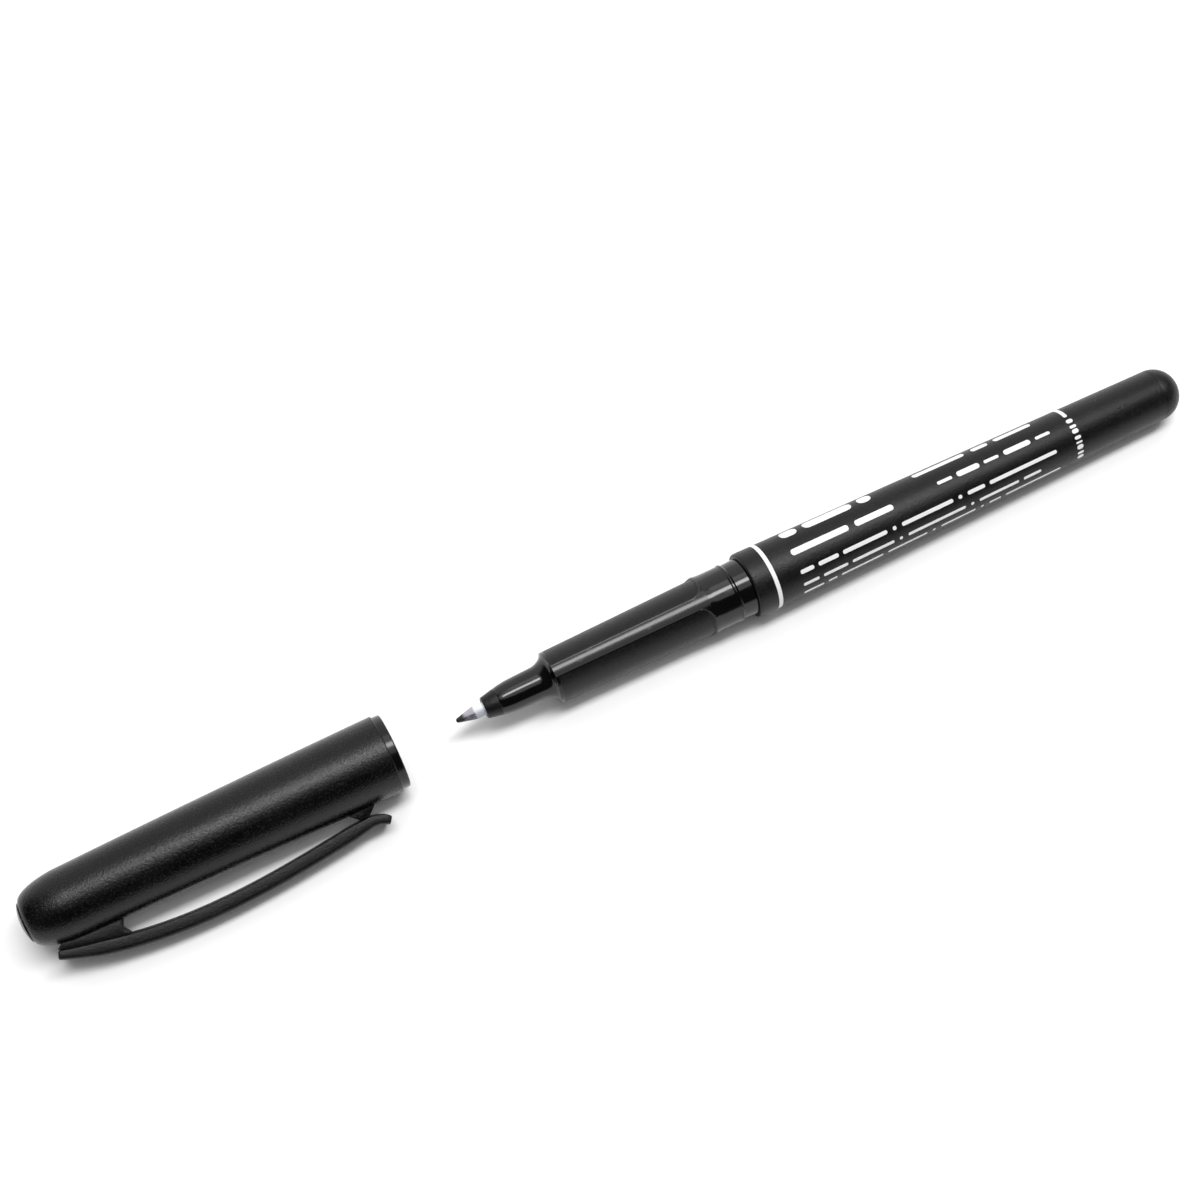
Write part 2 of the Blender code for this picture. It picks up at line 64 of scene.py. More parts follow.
# %% The marker's own frames
JOINTS = {joint["name"]: joint for joint in frame["joints"]}
AXIS = Vector(JOINTS["cap_slide"]["axis"]).normalized()
SIDEWAYS = Vector((0.0, 1.0, 0.0))


def corners(node):
    """Every vertex of a solid, in the shared frame."""
    return [vertex.co for vertex in frame["nodes"][node].data.vertices]


NIB_POINT = min(corners("nib"), key=AXIS.dot).copy()
PEN = Matrix.Translation(NIB_POINT) @ Matrix((AXIS, SIDEWAYS, AXIS.cross(SIDEWAYS))).transposed().to_4x4()


def span(node):
    """Where a solid starts and ends along the axis, from the nib's point."""
    stations = [AXIS.dot(corner - NIB_POINT) for corner in corners(node)]
    return min(stations), max(stations)


NOSE_SETBACK = 0.2 * MM
NOSE_X = span("grip_section")[0] + NOSE_SETBACK
BARREL_X, BARREL_END_X = span("barrel")
MOUTH_X = span("cap_shell")[1]
CAP = PEN @ Matrix.Translation((MOUTH_X, 0.0, 0.0))
print(f"axis dips {math.degrees(math.asin(-AXIS.z)):.2f} degrees")
print(f"mouth {-MOUTH_X / MM:.1f} mm ahead of the nib")

# %% [markdown]
# Nearly every piece of a pen is round, so one helper turns them all, as a lathe would. It draws half of
# the outline as a wire of (place along X, radius, rounding) points, rounds the wire's corners with a
# vertex bevel, and spins it once round the axis. Rounding the wire is much quicker than bevelling the
# finished rims, and gives every edge the small radius that catches light on a moulded part.

# %% Turning on a lathe
TURNS = 160
ROUND_STEPS = 5
BIG_ROUND_STEPS = 20
MERGE = 1e-8


def round_off(shape, items, rounding, steps, affect):
    """Bevel some vertices or edges of a shape to a round form."""
    bmesh.ops.bevel(shape, geom=items, offset=rounding, offset_type="OFFSET", segments=steps, profile=0.5,
                    affect=affect, material=-1)


def outline(points, closed):
    """A wire in the XZ plane with its corners rounded."""
    shape = bmesh.new()
    verts = [shape.verts.new((x, 0.0, radius)) for x, radius, _ in points]
    pairs = list(zip(verts, verts[1:]))
    if closed:
        pairs.append((verts[-1], verts[0]))
    for pair in pairs:
        shape.edges.new(pair)
    for vert, (_, _, rounding) in zip(verts, points):
        if rounding:
            steps = ROUND_STEPS if rounding < MM else BIG_ROUND_STEPS
            round_off(shape, [vert], rounding, steps, "VERTICES")
    return shape


def spin_round(shape, turns=TURNS):
    """Spin a wire once round X into a closed skin whose faces point outwards."""
    bmesh.ops.spin(shape, geom=shape.verts[:] + shape.edges[:], cent=(0.0, 0.0, 0.0), axis=(1.0, 0.0, 0.0),
                   angle=math.tau, steps=turns, use_merge=True)
    bmesh.ops.remove_doubles(shape, verts=shape.verts[:], dist=MERGE)
    bmesh.ops.recalc_face_normals(shape, faces=shape.faces[:])
    return shape


def turned(points, closed=False):
    """A turned skin from (place along X, radius, rounding) points."""
    return spin_round(outline(points, closed))


print("lathe:", TURNS, "steps to a turn")

# %% [markdown]
# A finished mesh still has to be told where it belongs. One helper moves it into the shared frame, shades
# it smooth between its real edges, gives it its finishes, ties it to the body it moves with and hides the
# solid it stands for. Every object stays at the origin, so object coordinates are those of that frame.

# %% Laying a piece in its place
EDGE_ANGLE = math.radians(32.0)


def lay(shape, name, place, finishes, body=None, stands_for=()):
    """Turn a bmesh into a named piece of the marker."""
    bmesh.ops.transform(shape, matrix=place, verts=shape.verts[:])
    mesh = bpy.data.meshes.new(name)
    shape.to_mesh(mesh)
    shape.free()
    mesh.shade_smooth()
    mesh.set_sharp_from_angle(angle=EDGE_ANGLE)
    for finish in finishes:
        mesh.materials.append(finish)
    piece = bpy.data.objects.new(name, mesh)
    bpy.context.scene.collection.objects.link(piece)
    if body:
        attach(piece, body)
    if stands_for:
        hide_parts(*stands_for)
    print(f"{name}: {len(mesh.polygons)} faces")
    return piece


print(f"edges over {math.degrees(EDGE_ANGLE):.0f} degrees stay sharp")

# %% [markdown]
# Finishes are node trees, and drawing one node at a time is long-winded. Two small classes shorten it.
# A Wire is one socket, and plain arithmetic on it adds Math nodes. A Sheet is one tree, and its add method
# makes any other node from its type, its settings and the values or wires of its sockets.

# %% A short way to write shaders
NOISE_ROUGHNESS = 0.6
NOISE_MIDDLE = 0.5
MIX_SHARE, MIX_FIRST, MIX_SECOND, MIX_RESULT = 0, 6, 7, 2
OBJECT_PLACE = 3


class Wire:
    """An output socket that can be added, subtracted, multiplied and compared."""

    def __init__(self, sheet, socket):
        self.sheet = sheet
        self.socket = socket

    def math(self, operation, *values):
        return self.sheet.add("ShaderNodeMath", {"operation": operation}, dict(enumerate(values)))

    def __add__(self, other):
        return self.math("ADD", self, other)

    def __sub__(self, other):
        return self.math("SUBTRACT", self, other)

    def __rsub__(self, other):
        return self.math("SUBTRACT", other, self)

    def __mul__(self, other):
        return self.math("MULTIPLY", self, other)

    def __gt__(self, other):
        return self.math("GREATER_THAN", self, other)

    def larger(self, other):
        return self.math("MAXIMUM", self, other)

    def ramp(self, low, high):
        """0 below low, 1 above high, and a smooth rise between them."""
        return self.sheet.add("ShaderNodeMapRange", {"interpolation_type": "SMOOTHSTEP"},
                              {"Value": self, "From Min": low, "From Max": high})

    __radd__ = __add__
    __rmul__ = __mul__


class Sheet:
    """A node tree, emptied and then drawn one node at a time."""

    def __init__(self, tree):
        self.tree = tree
        tree.nodes.clear()

    def add(self, kind, settings=None, inputs=None, output=0):
        node = self.tree.nodes.new(kind)
        for name, value in (settings or {}).items():
            setattr(node, name, value)
        for name, value in (inputs or {}).items():
            if isinstance(value, Wire):
                self.tree.links.new(value.socket, node.inputs[name])
            else:
                node.inputs[name].default_value = value
        return Wire(self, node.outputs[output]) if node.outputs else None

    def blend(self, share, first, second):
        """A colour between two others."""
        return self.add("ShaderNodeMix", {"data_type": "RGBA"},
                        {MIX_SHARE: share, MIX_FIRST: first, MIX_SECOND: second}, MIX_RESULT)

    def noise(self, where, scale, detail=2.0):
        """Even noise from 0 to 1, with scale features in a millimetre."""
        return self.add("ShaderNodeTexNoise", None, {
            "Vector": where, "Scale": scale / MM, "Detail": detail, "Roughness": NOISE_ROUGHNESS})

    def bump(self, height, depth):
        """A normal for a height from 0 to 1 that stands for a depth in metres."""
        return self.add("ShaderNodeBump", None, {"Height": height, "Distance": depth})


def new_finish(name, draw):
    """A material whose surface is the shader that draw returns."""
    finish = bpy.data.materials.new(name)
    finish.use_nodes = True
    sheet = Sheet(finish.node_tree)
    where = sheet.add("ShaderNodeTexCoord", output=OBJECT_PLACE)
    sheet.add("ShaderNodeOutputMaterial", None, {"Surface": draw(sheet, where)})
    print("finish:", name, len(finish.node_tree.nodes), "nodes")
    return finish


print("shader helpers:", Wire.__name__, "and", Sheet.__name__)

# %% [markdown]
# Barrel, cap and clip are black plastic from a mould whose walls were spark-eroded, which leaves a fine,
# even grain like very fine sandpaper. It could be a picture of grain, but noise in object coordinates
# needs no unwrapping and has the same size everywhere. Two noises make the grain, a broad one makes
# patches that fingers have polished, and rare tiny spots are dust. The cap is handled most, so it is
# a little smoother than the barrel.

# %% Matt and satin black plastic
BLACK = (0.0016, 0.0016, 0.0018, 1.0)
SOFT_BLACK = (0.0034, 0.0032, 0.0034, 1.0)
GRAIN_BLACK = (0.0105, 0.0100, 0.0102, 1.0)
DUST = (0.16, 0.16, 0.15, 1.0)
MATT = 0.39
SATIN = 0.24
GRAIN_SCALE = 3.0
GRAIN_SHARE = 0.6
FINE_GRAIN_SCALE = 6.5
GRAIN_TOPS = (0.50, 0.66)
GRAIN_SWING = 0.55
PATCH_SCALE = 0.16
PATCH_EDGES = (0.35, 0.65)
PATCH_SWING = 0.08
DUST_CELLS = 0.55
DUST_SHARE = 0.06
DUST_SIZE = 0.045
GRAIN_DEPTH = 0.075 * MM
PLASTIC_SHINE = 0.31


def dust_spots(sheet, where):
    """1 inside a few tiny round spots, and 0 elsewhere."""
    cell = {"Vector": where, "Scale": DUST_CELLS / MM}
    near = sheet.add("ShaderNodeTexVoronoi", None, cell)
    draw_lots = sheet.add("ShaderNodeTexVoronoi", None, cell, output=1)
    lot = sheet.add("ShaderNodeSeparateColor", None, {"Color": draw_lots})
    return (DUST_SIZE - near > 0.0) * (DUST_SHARE - lot > 0.0)


def spark_grain(sheet, where):
    """The height of the grain, from 0 to 1."""
    coarse = sheet.noise(where, GRAIN_SCALE) * GRAIN_SHARE
    return coarse + sheet.noise(where, FINE_GRAIN_SCALE) * (1.0 - GRAIN_SHARE)


def grained_plastic(dullness):
    """How to draw grained black plastic of one dullness."""
    def draw(sheet, where):
        grain = spark_grain(sheet, where)
        patches = sheet.noise(where, PATCH_SCALE)
        colour = sheet.blend(patches.ramp(*PATCH_EDGES), BLACK, SOFT_BLACK)
        colour = sheet.blend(grain.ramp(*GRAIN_TOPS), colour, GRAIN_BLACK)
        colour = sheet.blend(dust_spots(sheet, where), colour, DUST)
        roughness = dullness + (grain - NOISE_MIDDLE) * GRAIN_SWING
        roughness = roughness + (patches - NOISE_MIDDLE) * PATCH_SWING
        return sheet.add("ShaderNodeBsdfPrincipled", None, {
            "Base Color": colour, "Roughness": roughness, "Normal": sheet.bump(grain, GRAIN_DEPTH),
            "Specular IOR Level": PLASTIC_SHINE})
    return draw


matt_black = new_finish("matt_black", grained_plastic(MATT))
satin_black = new_finish("satin_black", grained_plastic(SATIN))

# %% [markdown]
# The neck and collar come from a polished part of the mould, so they shine. Moulded gloss is never quite
# even: a slow ripple bends its reflections a little, and faint smears dull it. The ridges of the grip and
# the lip of the cap are worn by use, so they get a duller version.

# %% Gloss black plastic
GLOSS = 0.12
GLOSS_SHINE = 0.5
WORN_GLOSS = 0.17
WORN_SHINE = 0.4
SMEAR_SCALE = 0.64
SMEAR_EDGES = (0.5, 0.8)
SMEAR_SWING = 0.08
RIPPLE_SCALE = 0.35
RIPPLE_DEPTH = 0.010 * MM


def polished_plastic(dullness, shine):
    """How to draw smooth black plastic of one dullness and shine."""
    def draw(sheet, where):
        ripple = sheet.noise(where, RIPPLE_SCALE)
        smears = sheet.noise(where, SMEAR_SCALE).ramp(*SMEAR_EDGES)
        return sheet.add("ShaderNodeBsdfPrincipled", None, {
            "Base Color": sheet.blend(sheet.noise(where, PATCH_SCALE), BLACK, SOFT_BLACK),
            "Roughness": dullness + smears * SMEAR_SWING, "Normal": sheet.bump(ripple, RIPPLE_DEPTH),
            "Specular IOR Level": shine})
    return draw


gloss_black = new_finish("gloss_black", polished_plastic(GLOSS, GLOSS_SHINE))
worn_black = new_finish("worn_black", polished_plastic(WORN_GLOSS, WORN_SHINE))

# %% [markdown]
# The nib is a rod of pressed fibres. It is white where it leaves the nose, grey-blue on its ground cone,
# where ink has dried, and brown-black at the point. Shaft and cone are painted darker towards their front
# side, as painted shade. A mapping node turns object coordinates back into the marker's own frame, and the
# stains follow the distance from the nib's point with a ragged edge.

# %% Nib fibre
NIB_WHITE = (0.86, 0.88, 0.90, 1.0)
# painted shade: the darker grey of the shaft's front side
NIB_SHAFT_SHADE = (0.43, 0.46, 0.51, 1.0)
NIB_STAIN = (0.42, 0.40, 0.47, 1.0)
# painted shade: the darker colour of the cone's front side
NIB_CONE_SHADE = (0.085, 0.085, 0.100, 1.0)
NIB_INK = (0.016, 0.011, 0.010, 1.0)
INK_END = 1.3 * MM
INK_SOFT = 0.3 * MM
STAIN_END = 3.0 * MM
STAIN_SOFT = 0.15 * MM
RAGGED_REACH = 0.9 * MM
# painted shade: the cone and the shaft grow darker towards their front side over these spans
CONE_SHADE_SLOPE = 0.12
CONE_SHADE_SIDE = (-0.2 * MM, 0.1 * MM)
SHAFT_SHADE_SIDE = (-0.85 * MM, 0.1 * MM)
FIBRE_SCALE = 6.0
FIBRE_STRETCH = 0.08
FIBRE_TONES = (0.42, 0.62)
FIBRE_SHOW = 0.25
FIBRE_DEPTH = 0.03 * MM
NIB_DULL = 0.36
NIB_SWING = 0.2
NIB_GLOW = 0.15
NIB_GLOW_REACH = 0.5 * MM


def fibre_rod(sheet, where):
    """Draw pressed fibre, white at the nose and stained towards the point, with painted shade on its front
    side.
    """
    local = sheet.add("ShaderNodeMapping", {"vector_type": "TEXTURE"},
                      {"Vector": where, "Location": NIB_POINT, "Rotation": PEN.to_euler()})
    drawn = sheet.add("ShaderNodeMapping", None, {"Vector": local, "Scale": (FIBRE_STRETCH, 1.0, 1.0)})
    along = sheet.add("ShaderNodeSeparateXYZ", None, {"Vector": local})
    aside = sheet.add("ShaderNodeSeparateXYZ", None, {"Vector": local}, output=1)
    fibres = sheet.noise(drawn, FIBRE_SCALE)
    ragged = along + (fibres - NOISE_MIDDLE) * RAGGED_REACH
    # painted shade: the cone's stain and the white shaft are painted darker towards their front side
    shaded_stain = sheet.blend((aside + along * CONE_SHADE_SLOPE).ramp(*CONE_SHADE_SIDE), NIB_CONE_SHADE, NIB_STAIN)
    shaded_shaft = sheet.blend(aside.ramp(*SHAFT_SHADE_SIDE), NIB_SHAFT_SHADE, NIB_WHITE)
    stained = sheet.blend(ragged.ramp(STAIN_END - STAIN_SOFT, STAIN_END + STAIN_SOFT), shaded_stain, shaded_shaft)
    pale = sheet.blend(fibres.ramp(*FIBRE_TONES) * FIBRE_SHOW, stained, NIB_STAIN)
    colour = sheet.blend(ragged.ramp(INK_END - INK_SOFT, INK_END + INK_SOFT), NIB_INK, pale)
    return sheet.add("ShaderNodeBsdfPrincipled", None, {
        "Base Color": colour, "Roughness": NIB_DULL + fibres * NIB_SWING,
        "Normal": sheet.bump(fibres, FIBRE_DEPTH), "Subsurface Weight": NIB_GLOW,
        "Subsurface Radius": (NIB_GLOW_REACH,) * 3})


nib_fibre = new_finish("nib_fibre", fibre_rod)

# %% [markdown]
# Inside the barrel a bundle of felt soaks up the ink, wrapped in clear film. Neither shows while the
# marker is whole, but both are real pieces and get their own finish: long dark fibres for the felt, and a
# thin, slightly cloudy plastic for the film.

# %% Felt and film
FELT_DARK = (0.012, 0.012, 0.016, 1.0)
FELT_PALE = (0.060, 0.060, 0.075, 1.0)
FELT_SCALE = 3.0
FELT_TONES = (0.4, 0.7)
FELT_DULL = 0.75
FELT_SWING = 0.2
FELT_DEPTH = 0.06 * MM
FINE_DETAIL = 4.0
FILM_TINT = (0.72, 0.75, 0.78, 1.0)
FILM_CLOUD = (0.82, 0.84, 0.86, 1.0)
FILM_DULL = 0.18
FILM_SWING = 0.1
FILM_DEPTH = 0.05 * MM
FILM_CLEAR = 0.5


def soaked_felt(sheet, where):
    """Draw long fibres that are dark with ink."""
    drawn = sheet.add("ShaderNodeMapping", None, {"Vector": where, "Scale": (FIBRE_STRETCH, 1.0, 1.0)})
    fibres = sheet.noise(drawn, FELT_SCALE, FINE_DETAIL)
    return sheet.add("ShaderNodeBsdfPrincipled", None, {
        "Base Color": sheet.blend(fibres.ramp(*FELT_TONES), FELT_DARK, FELT_PALE),
        "Roughness": FELT_DULL + fibres * FELT_SWING, "Normal": sheet.bump(fibres, FELT_DEPTH)})


def cloudy_film(sheet, where):
    """Draw thin clear plastic with faint clouds."""
    cloud = sheet.noise(where, PATCH_SCALE)
    return sheet.add("ShaderNodeBsdfPrincipled", None, {
        "Base Color": sheet.blend(cloud, FILM_TINT, FILM_CLOUD),
        "Roughness": FILM_DULL + cloud * FILM_SWING,
        "Normal": sheet.bump(cloud, FILM_DEPTH), "Transmission Weight": FILM_CLEAR})


ink_fibre = new_finish("ink_fibre", soaked_felt)
clear_film = new_finish("clear_film", cloudy_film)

# %% [markdown]
# The marks on the barrel are screen-printed in white. Real printed ink lies a little unevenly, so the
# finish thins to a pale grey in fine spots and has a slight orange-peel surface.

# %% White ink
INK_WHITE = (0.92, 0.92, 0.91, 1.0)
INK_THIN = (0.74, 0.74, 0.74, 1.0)
INK_DULL = 0.42
INK_SWING = 0.12
PEEL_SCALE = 3.0
PEEL_DEPTH = 0.008 * MM
THIN_SCALE = 1.6
THIN_EDGES = (0.60, 0.74)
THIN_SHOW = 0.5


def printed_ink(sheet, where):
    """Draw white ink that lies a little unevenly."""
    peel = sheet.noise(where, PEEL_SCALE)
    thin = sheet.noise(where, THIN_SCALE, FINE_DETAIL).ramp(*THIN_EDGES)
    return sheet.add("ShaderNodeBsdfPrincipled", None, {
        "Base Color": sheet.blend(thin * THIN_SHOW, INK_WHITE, INK_THIN),
        "Roughness": INK_DULL + peel * INK_SWING, "Normal": sheet.bump(peel, PEEL_DEPTH)})


white_ink = new_finish("white_ink", printed_ink)

# %% [markdown]
# The nib is turned like a pencil lead: a rounded point, a ground cone and a straight shank that runs far
# back into the ink reservoir, which is how the ink reaches the point.

# %% Nib
NIB_RADIUS = 1.05 * MM
NIB_POINT_RADIUS = 0.31 * MM
NIB_POINT_ROUND = 0.27 * MM
NIB_CONE_LENGTH = 3.0 * MM
NIB_CONE_ROUND = 0.12 * MM
NIB_END_X = span("nib")[1]
NIB_END_ROUND = 0.1 * MM

nib_points = [
    (0.0, 0.0, 0.0),
    (0.0, NIB_POINT_RADIUS, NIB_POINT_ROUND),
    (NIB_CONE_LENGTH, NIB_RADIUS, NIB_CONE_ROUND),
    (NIB_END_X, NIB_RADIUS, NIB_END_ROUND),
    (NIB_END_X, 0.0, 0.0),
]
lay(turned(nib_points), "nib_rod", PEN, [nib_fibre], "pen", ["nib"])

# %% [markdown]
# Nose, neck, grip, collar and spigot are one moulding. Its round part is turned first. Cutters could take
# the finger faces out of it, but a Boolean cut would leave slivers along their long edges. So the grip gets
# many rings here, and the next step presses the faces into that fine grid.

# %% Sizes of the grip section
NIB_CLEARANCE = 0.12 * MM
NIB_BORE = NIB_RADIUS + NIB_CLEARANCE
NOSE_FACE_RADIUS = 1.68 * MM
NOSE_LENGTH = 3.9 * MM
NOSE_ROUND = 0.18 * MM
CREASE_X = NOSE_X + 2.35 * MM
CREASE_HALF = 0.07 * MM
CREASE_DEPTH = 0.07 * MM
CREASE_ROUND = 0.03 * MM
CREASE_FLOOR_ROUND = 0.02 * MM
NECK_X = NOSE_X + NOSE_LENGTH
NECK_RADIUS = 2.5 * MM
NECK_ROUND = 1.1 * MM
SHOULDER_X = NECK_X + 7.4 * MM
SHOULDER_NECK_RADIUS = 2.70 * MM
FLARE_X = SHOULDER_X - 1.3 * MM
FLARE_ROUND = 1.0 * MM
FLARE_TOP_X = SHOULDER_X - 0.2 * MM
FLARE_TOP_RADIUS = SHOULDER_NECK_RADIUS + 1.0 * MM
FLARE_TOP_ROUND = 0.4 * MM
GRIP_FRONT_RADIUS = 4.40 * MM
GRIP_REAR_RADIUS = 4.82 * MM
GRIP_LENGTH = 26.5 * MM
COLLAR_X = SHOULDER_X + GRIP_LENGTH
COLLAR_RADIUS = 4.70 * MM
COLLAR_STEP_X = COLLAR_X + 1.0 * MM
COLLAR_END_X = BARREL_X - 0.05 * MM
SNAP_X = BARREL_X - 2.75 * MM
SNAP_HALF = 0.35 * MM
SNAP_HEIGHT = 0.12 * MM
SNAP_UNDERCUT = 0.12 * MM
SPIGOT_RADIUS = 3.9 * MM
SPIGOT_END_X = span("grip_section")[1]
CORE_BORE = 3.2 * MM
SEAT_X = COLLAR_X + 1.2 * MM
FINE_X = COLLAR_X - 3.4 * MM
EDGE_ROUND = 0.08 * MM
SOFT_ROUND = 0.3 * MM


def nose_radius(x):
    """Radius of the nose's cone at a station."""
    return NOSE_FACE_RADIUS + (NECK_RADIUS - NOSE_FACE_RADIUS) * (x - NOSE_X) / NOSE_LENGTH


def grip_radius(x):
    """Radius of the tapered grip at a station."""
    return GRIP_REAR_RADIUS + (GRIP_FRONT_RADIUS - GRIP_REAR_RADIUS) * (COLLAR_X - x) / GRIP_LENGTH


print(f"grip from {SHOULDER_X / MM:.1f} to {COLLAR_X / MM:.1f} mm, barrel from {BARREL_X / MM:.1f} mm")

# %% The turned grip section
GRIP_TURNS = 324

grip_points = [
    (NOSE_X, NIB_BORE, EDGE_ROUND),
    (NOSE_X, NOSE_FACE_RADIUS, NOSE_ROUND),
    (CREASE_X - CREASE_HALF, nose_radius(CREASE_X - CREASE_HALF), CREASE_ROUND),
    (CREASE_X, nose_radius(CREASE_X) - CREASE_DEPTH, CREASE_FLOOR_ROUND),
    (CREASE_X + CREASE_HALF, nose_radius(CREASE_X + CREASE_HALF), CREASE_ROUND),
    (NECK_X, NECK_RADIUS, NECK_ROUND),
    (FLARE_X, SHOULDER_NECK_RADIUS, FLARE_ROUND),
    (FLARE_TOP_X, FLARE_TOP_RADIUS, FLARE_TOP_ROUND),
    (SHOULDER_X, GRIP_FRONT_RADIUS, EDGE_ROUND),
    (FINE_X, grip_radius(FINE_X), 0.0),
    (COLLAR_X, GRIP_REAR_RADIUS, EDGE_ROUND),
    (COLLAR_STEP_X, COLLAR_RADIUS, SOFT_ROUND),
    (SNAP_X - SNAP_HALF, COLLAR_RADIUS, EDGE_ROUND),
    (SNAP_X - SNAP_HALF / 3, COLLAR_RADIUS + SNAP_HEIGHT, EDGE_ROUND),
    (SNAP_X + SNAP_HALF / 3, COLLAR_RADIUS + SNAP_HEIGHT, EDGE_ROUND),
    (SNAP_X + SNAP_HALF, COLLAR_RADIUS - SNAP_UNDERCUT, EDGE_ROUND),
    (COLLAR_END_X, COLLAR_RADIUS, EDGE_ROUND),
    (COLLAR_END_X, SPIGOT_RADIUS, 0.0),
    (SPIGOT_END_X, SPIGOT_RADIUS, SOFT_ROUND),
    (SPIGOT_END_X, CORE_BORE, EDGE_ROUND),
    (SEAT_X, CORE_BORE, EDGE_ROUND),
    (SEAT_X, NIB_BORE, EDGE_ROUND),
]
grip = spin_round(outline(grip_points, closed=True), GRIP_TURNS)
print("turned grip:", len(grip.faces), "faces")

# %% Rings along the grip
GRIP_RINGS = 64
FINE_RINGS = 50


def along_grip(edge, start, end):
    """Whether an edge of the grip's skin runs lengthwise from one station to near another."""
    front, rear = sorted(vert.co.x for vert in edge.verts)
    outside = min(math.hypot(vert.co.y, vert.co.z) for vert in edge.verts) > SPIGOT_RADIUS
    return outside and start - EDGE_ROUND < front and rear < end + EDGE_ROUND and rear - front > MM


for start, end, rings in ((SHOULDER_X, FINE_X, GRIP_RINGS), (FINE_X, COLLAR_X, FINE_RINGS)):
    stretch = [edge for edge in grip.edges if along_grip(edge, start, end)]
    bmesh.ops.subdivide_edges(grip, edges=stretch, cuts=rings, use_grid_fill=True)
print("ringed grip:", len(grip.faces), "faces")

# %% [markdown]
# Three rounded finger faces keep the marker from turning in the hand. Every vertex outside a face's round
# form moves straight in towards the axis until it lies on that form, which keeps clean faces and soft
# edges. A hair-fine raised line follows each face's edge. The finger faces and the front of the nose are
# grained like the barrel, so their part of the mesh gets that finish, and the ridges between get the worn
# gloss.

# %% The form of a finger face
FACE_COUNT = 3
FACE_RADIUS = 6.0 * MM
FACE_HALF_ANGLE = math.radians(46.7)
FACE_TURN = math.radians(18.3)
FACE_CORNER = 2.0 * MM
FACE_RAMP = 0.30 * MM
FACE_SOFTNESS = 0.06 * MM
LINE_HEIGHT = 0.035 * MM
LINE_REACH = 0.16 * MM


def smooth(share):
    """0 below 0, 1 above 1, and a smooth rise between them."""
    share = min(1.0, max(0.0, share))
    return share * share * (3.0 - 2.0 * share)


def soft_min(first, second, softness):
    """The smaller of two lengths, with a rounded change from one to the other."""
    overlap = max(softness - abs(first - second), 0.0) / softness
    return min(first, second) - overlap * overlap * softness / 4.0


def face_end(across, half_width):
    """Where a face ends at a distance from its middle line: square, with round corners."""
    beyond = min(max(abs(across) - half_width + FACE_CORNER, 0.0), FACE_CORNER)
    return COLLAR_X - FACE_CORNER + math.sqrt(FACE_CORNER ** 2 - beyond ** 2)


print("finger faces:", FACE_COUNT, "of", round(math.degrees(2.0 * FACE_HALF_ANGLE)), "degrees")


# %% Press the finger faces
def press_face(shape, turn):
    """Press one face into the grip, and return the vertices that lie on it."""
    grained = set()
    for vert in shape.verts:
        x, y, z = vert.co
        outward = z * math.sin(turn) - y * math.cos(turn)
        radius = math.hypot(y, z)
        if radius < NECK_RADIUS or x > COLLAR_X or outward <= 0.0:
            continue
        half_width = grip_radius(x) * math.sin(FACE_HALF_ANGLE)
        centre = grip_radius(x) * math.cos(FACE_HALF_ANGLE) - math.sqrt(FACE_RADIUS ** 2 - half_width ** 2)
        aside = (y * math.sin(turn) + z * math.cos(turn)) / radius
        on_face = centre * outward / radius + math.sqrt(FACE_RADIUS ** 2 - (centre * aside) ** 2)
        across = on_face * aside
        to_end = face_end(across, half_width) - x
        depth = smooth(to_end / FACE_RAMP)
        pressed = soft_min(radius, on_face, FACE_SOFTNESS)
        inside = min(half_width - abs(across), to_end)
        if on_face - radius > 2.0 * LINE_REACH:
            continue
        if min(inside, x - SHOULDER_X) > LINE_REACH / 2:
            grained.add(vert)
        line = LINE_HEIGHT * smooth(1.0 - abs(inside) / LINE_REACH)
        scale = 1.0 + (line - depth * (radius - pressed)) / radius
        vert.co = (x, y * scale, z * scale)
    return grained


grained_verts = {vert for vert in grip.verts if vert.co.x < CREASE_X}
for index in range(FACE_COUNT):
    grained_verts |= press_face(grip, FACE_TURN + math.tau * index / FACE_COUNT)
for face in grip.faces:
    if grained_verts.issuperset(face.verts):
        face.material_index = 1
    elif SHOULDER_X < face.calc_center_median().x < COLLAR_X:
        face.material_index = 2
grip_finishes = [gloss_black, matt_black, worn_black]
lay(grip, "grip_moulding", PEN, grip_finishes, "pen", ["grip_section"])

# %% [markdown]
# The barrel is a tube that tapers towards the rear, with a socket for the spigot in front and a bore for
# the reservoir behind. Its end is closed by a plug with a round dome. On the real marker the joint
# between them is hard to find, so here only a hairline is left.

# %% Barrel and end plug
BARREL_FRONT_RADIUS = 5.38 * MM
BARREL_CHAMFER = 0.12 * MM
BARREL_CHAMFER_X = BARREL_X + 0.45 * MM
BARREL_FRONT_ROUND = 0.25 * MM
BARREL_CHAMFER_ROUND = 0.2 * MM
BARREL_REAR_RADIUS = 4.30 * MM
SOCKET_RADIUS = 4.2 * MM
SOCKET_END_X = SPIGOT_END_X + 0.3 * MM
SEAM_X = BARREL_END_X + 0.14 * MM
HAIRLINE = 0.02 * MM
PLUG_X, PLUG_END_X = span("end_plug")
PLUG_SHANK_RADIUS = CORE_BORE - 0.3 * MM
DOME_ROUND = 3.85 * MM
DOME_TAPER = 0.08 * MM

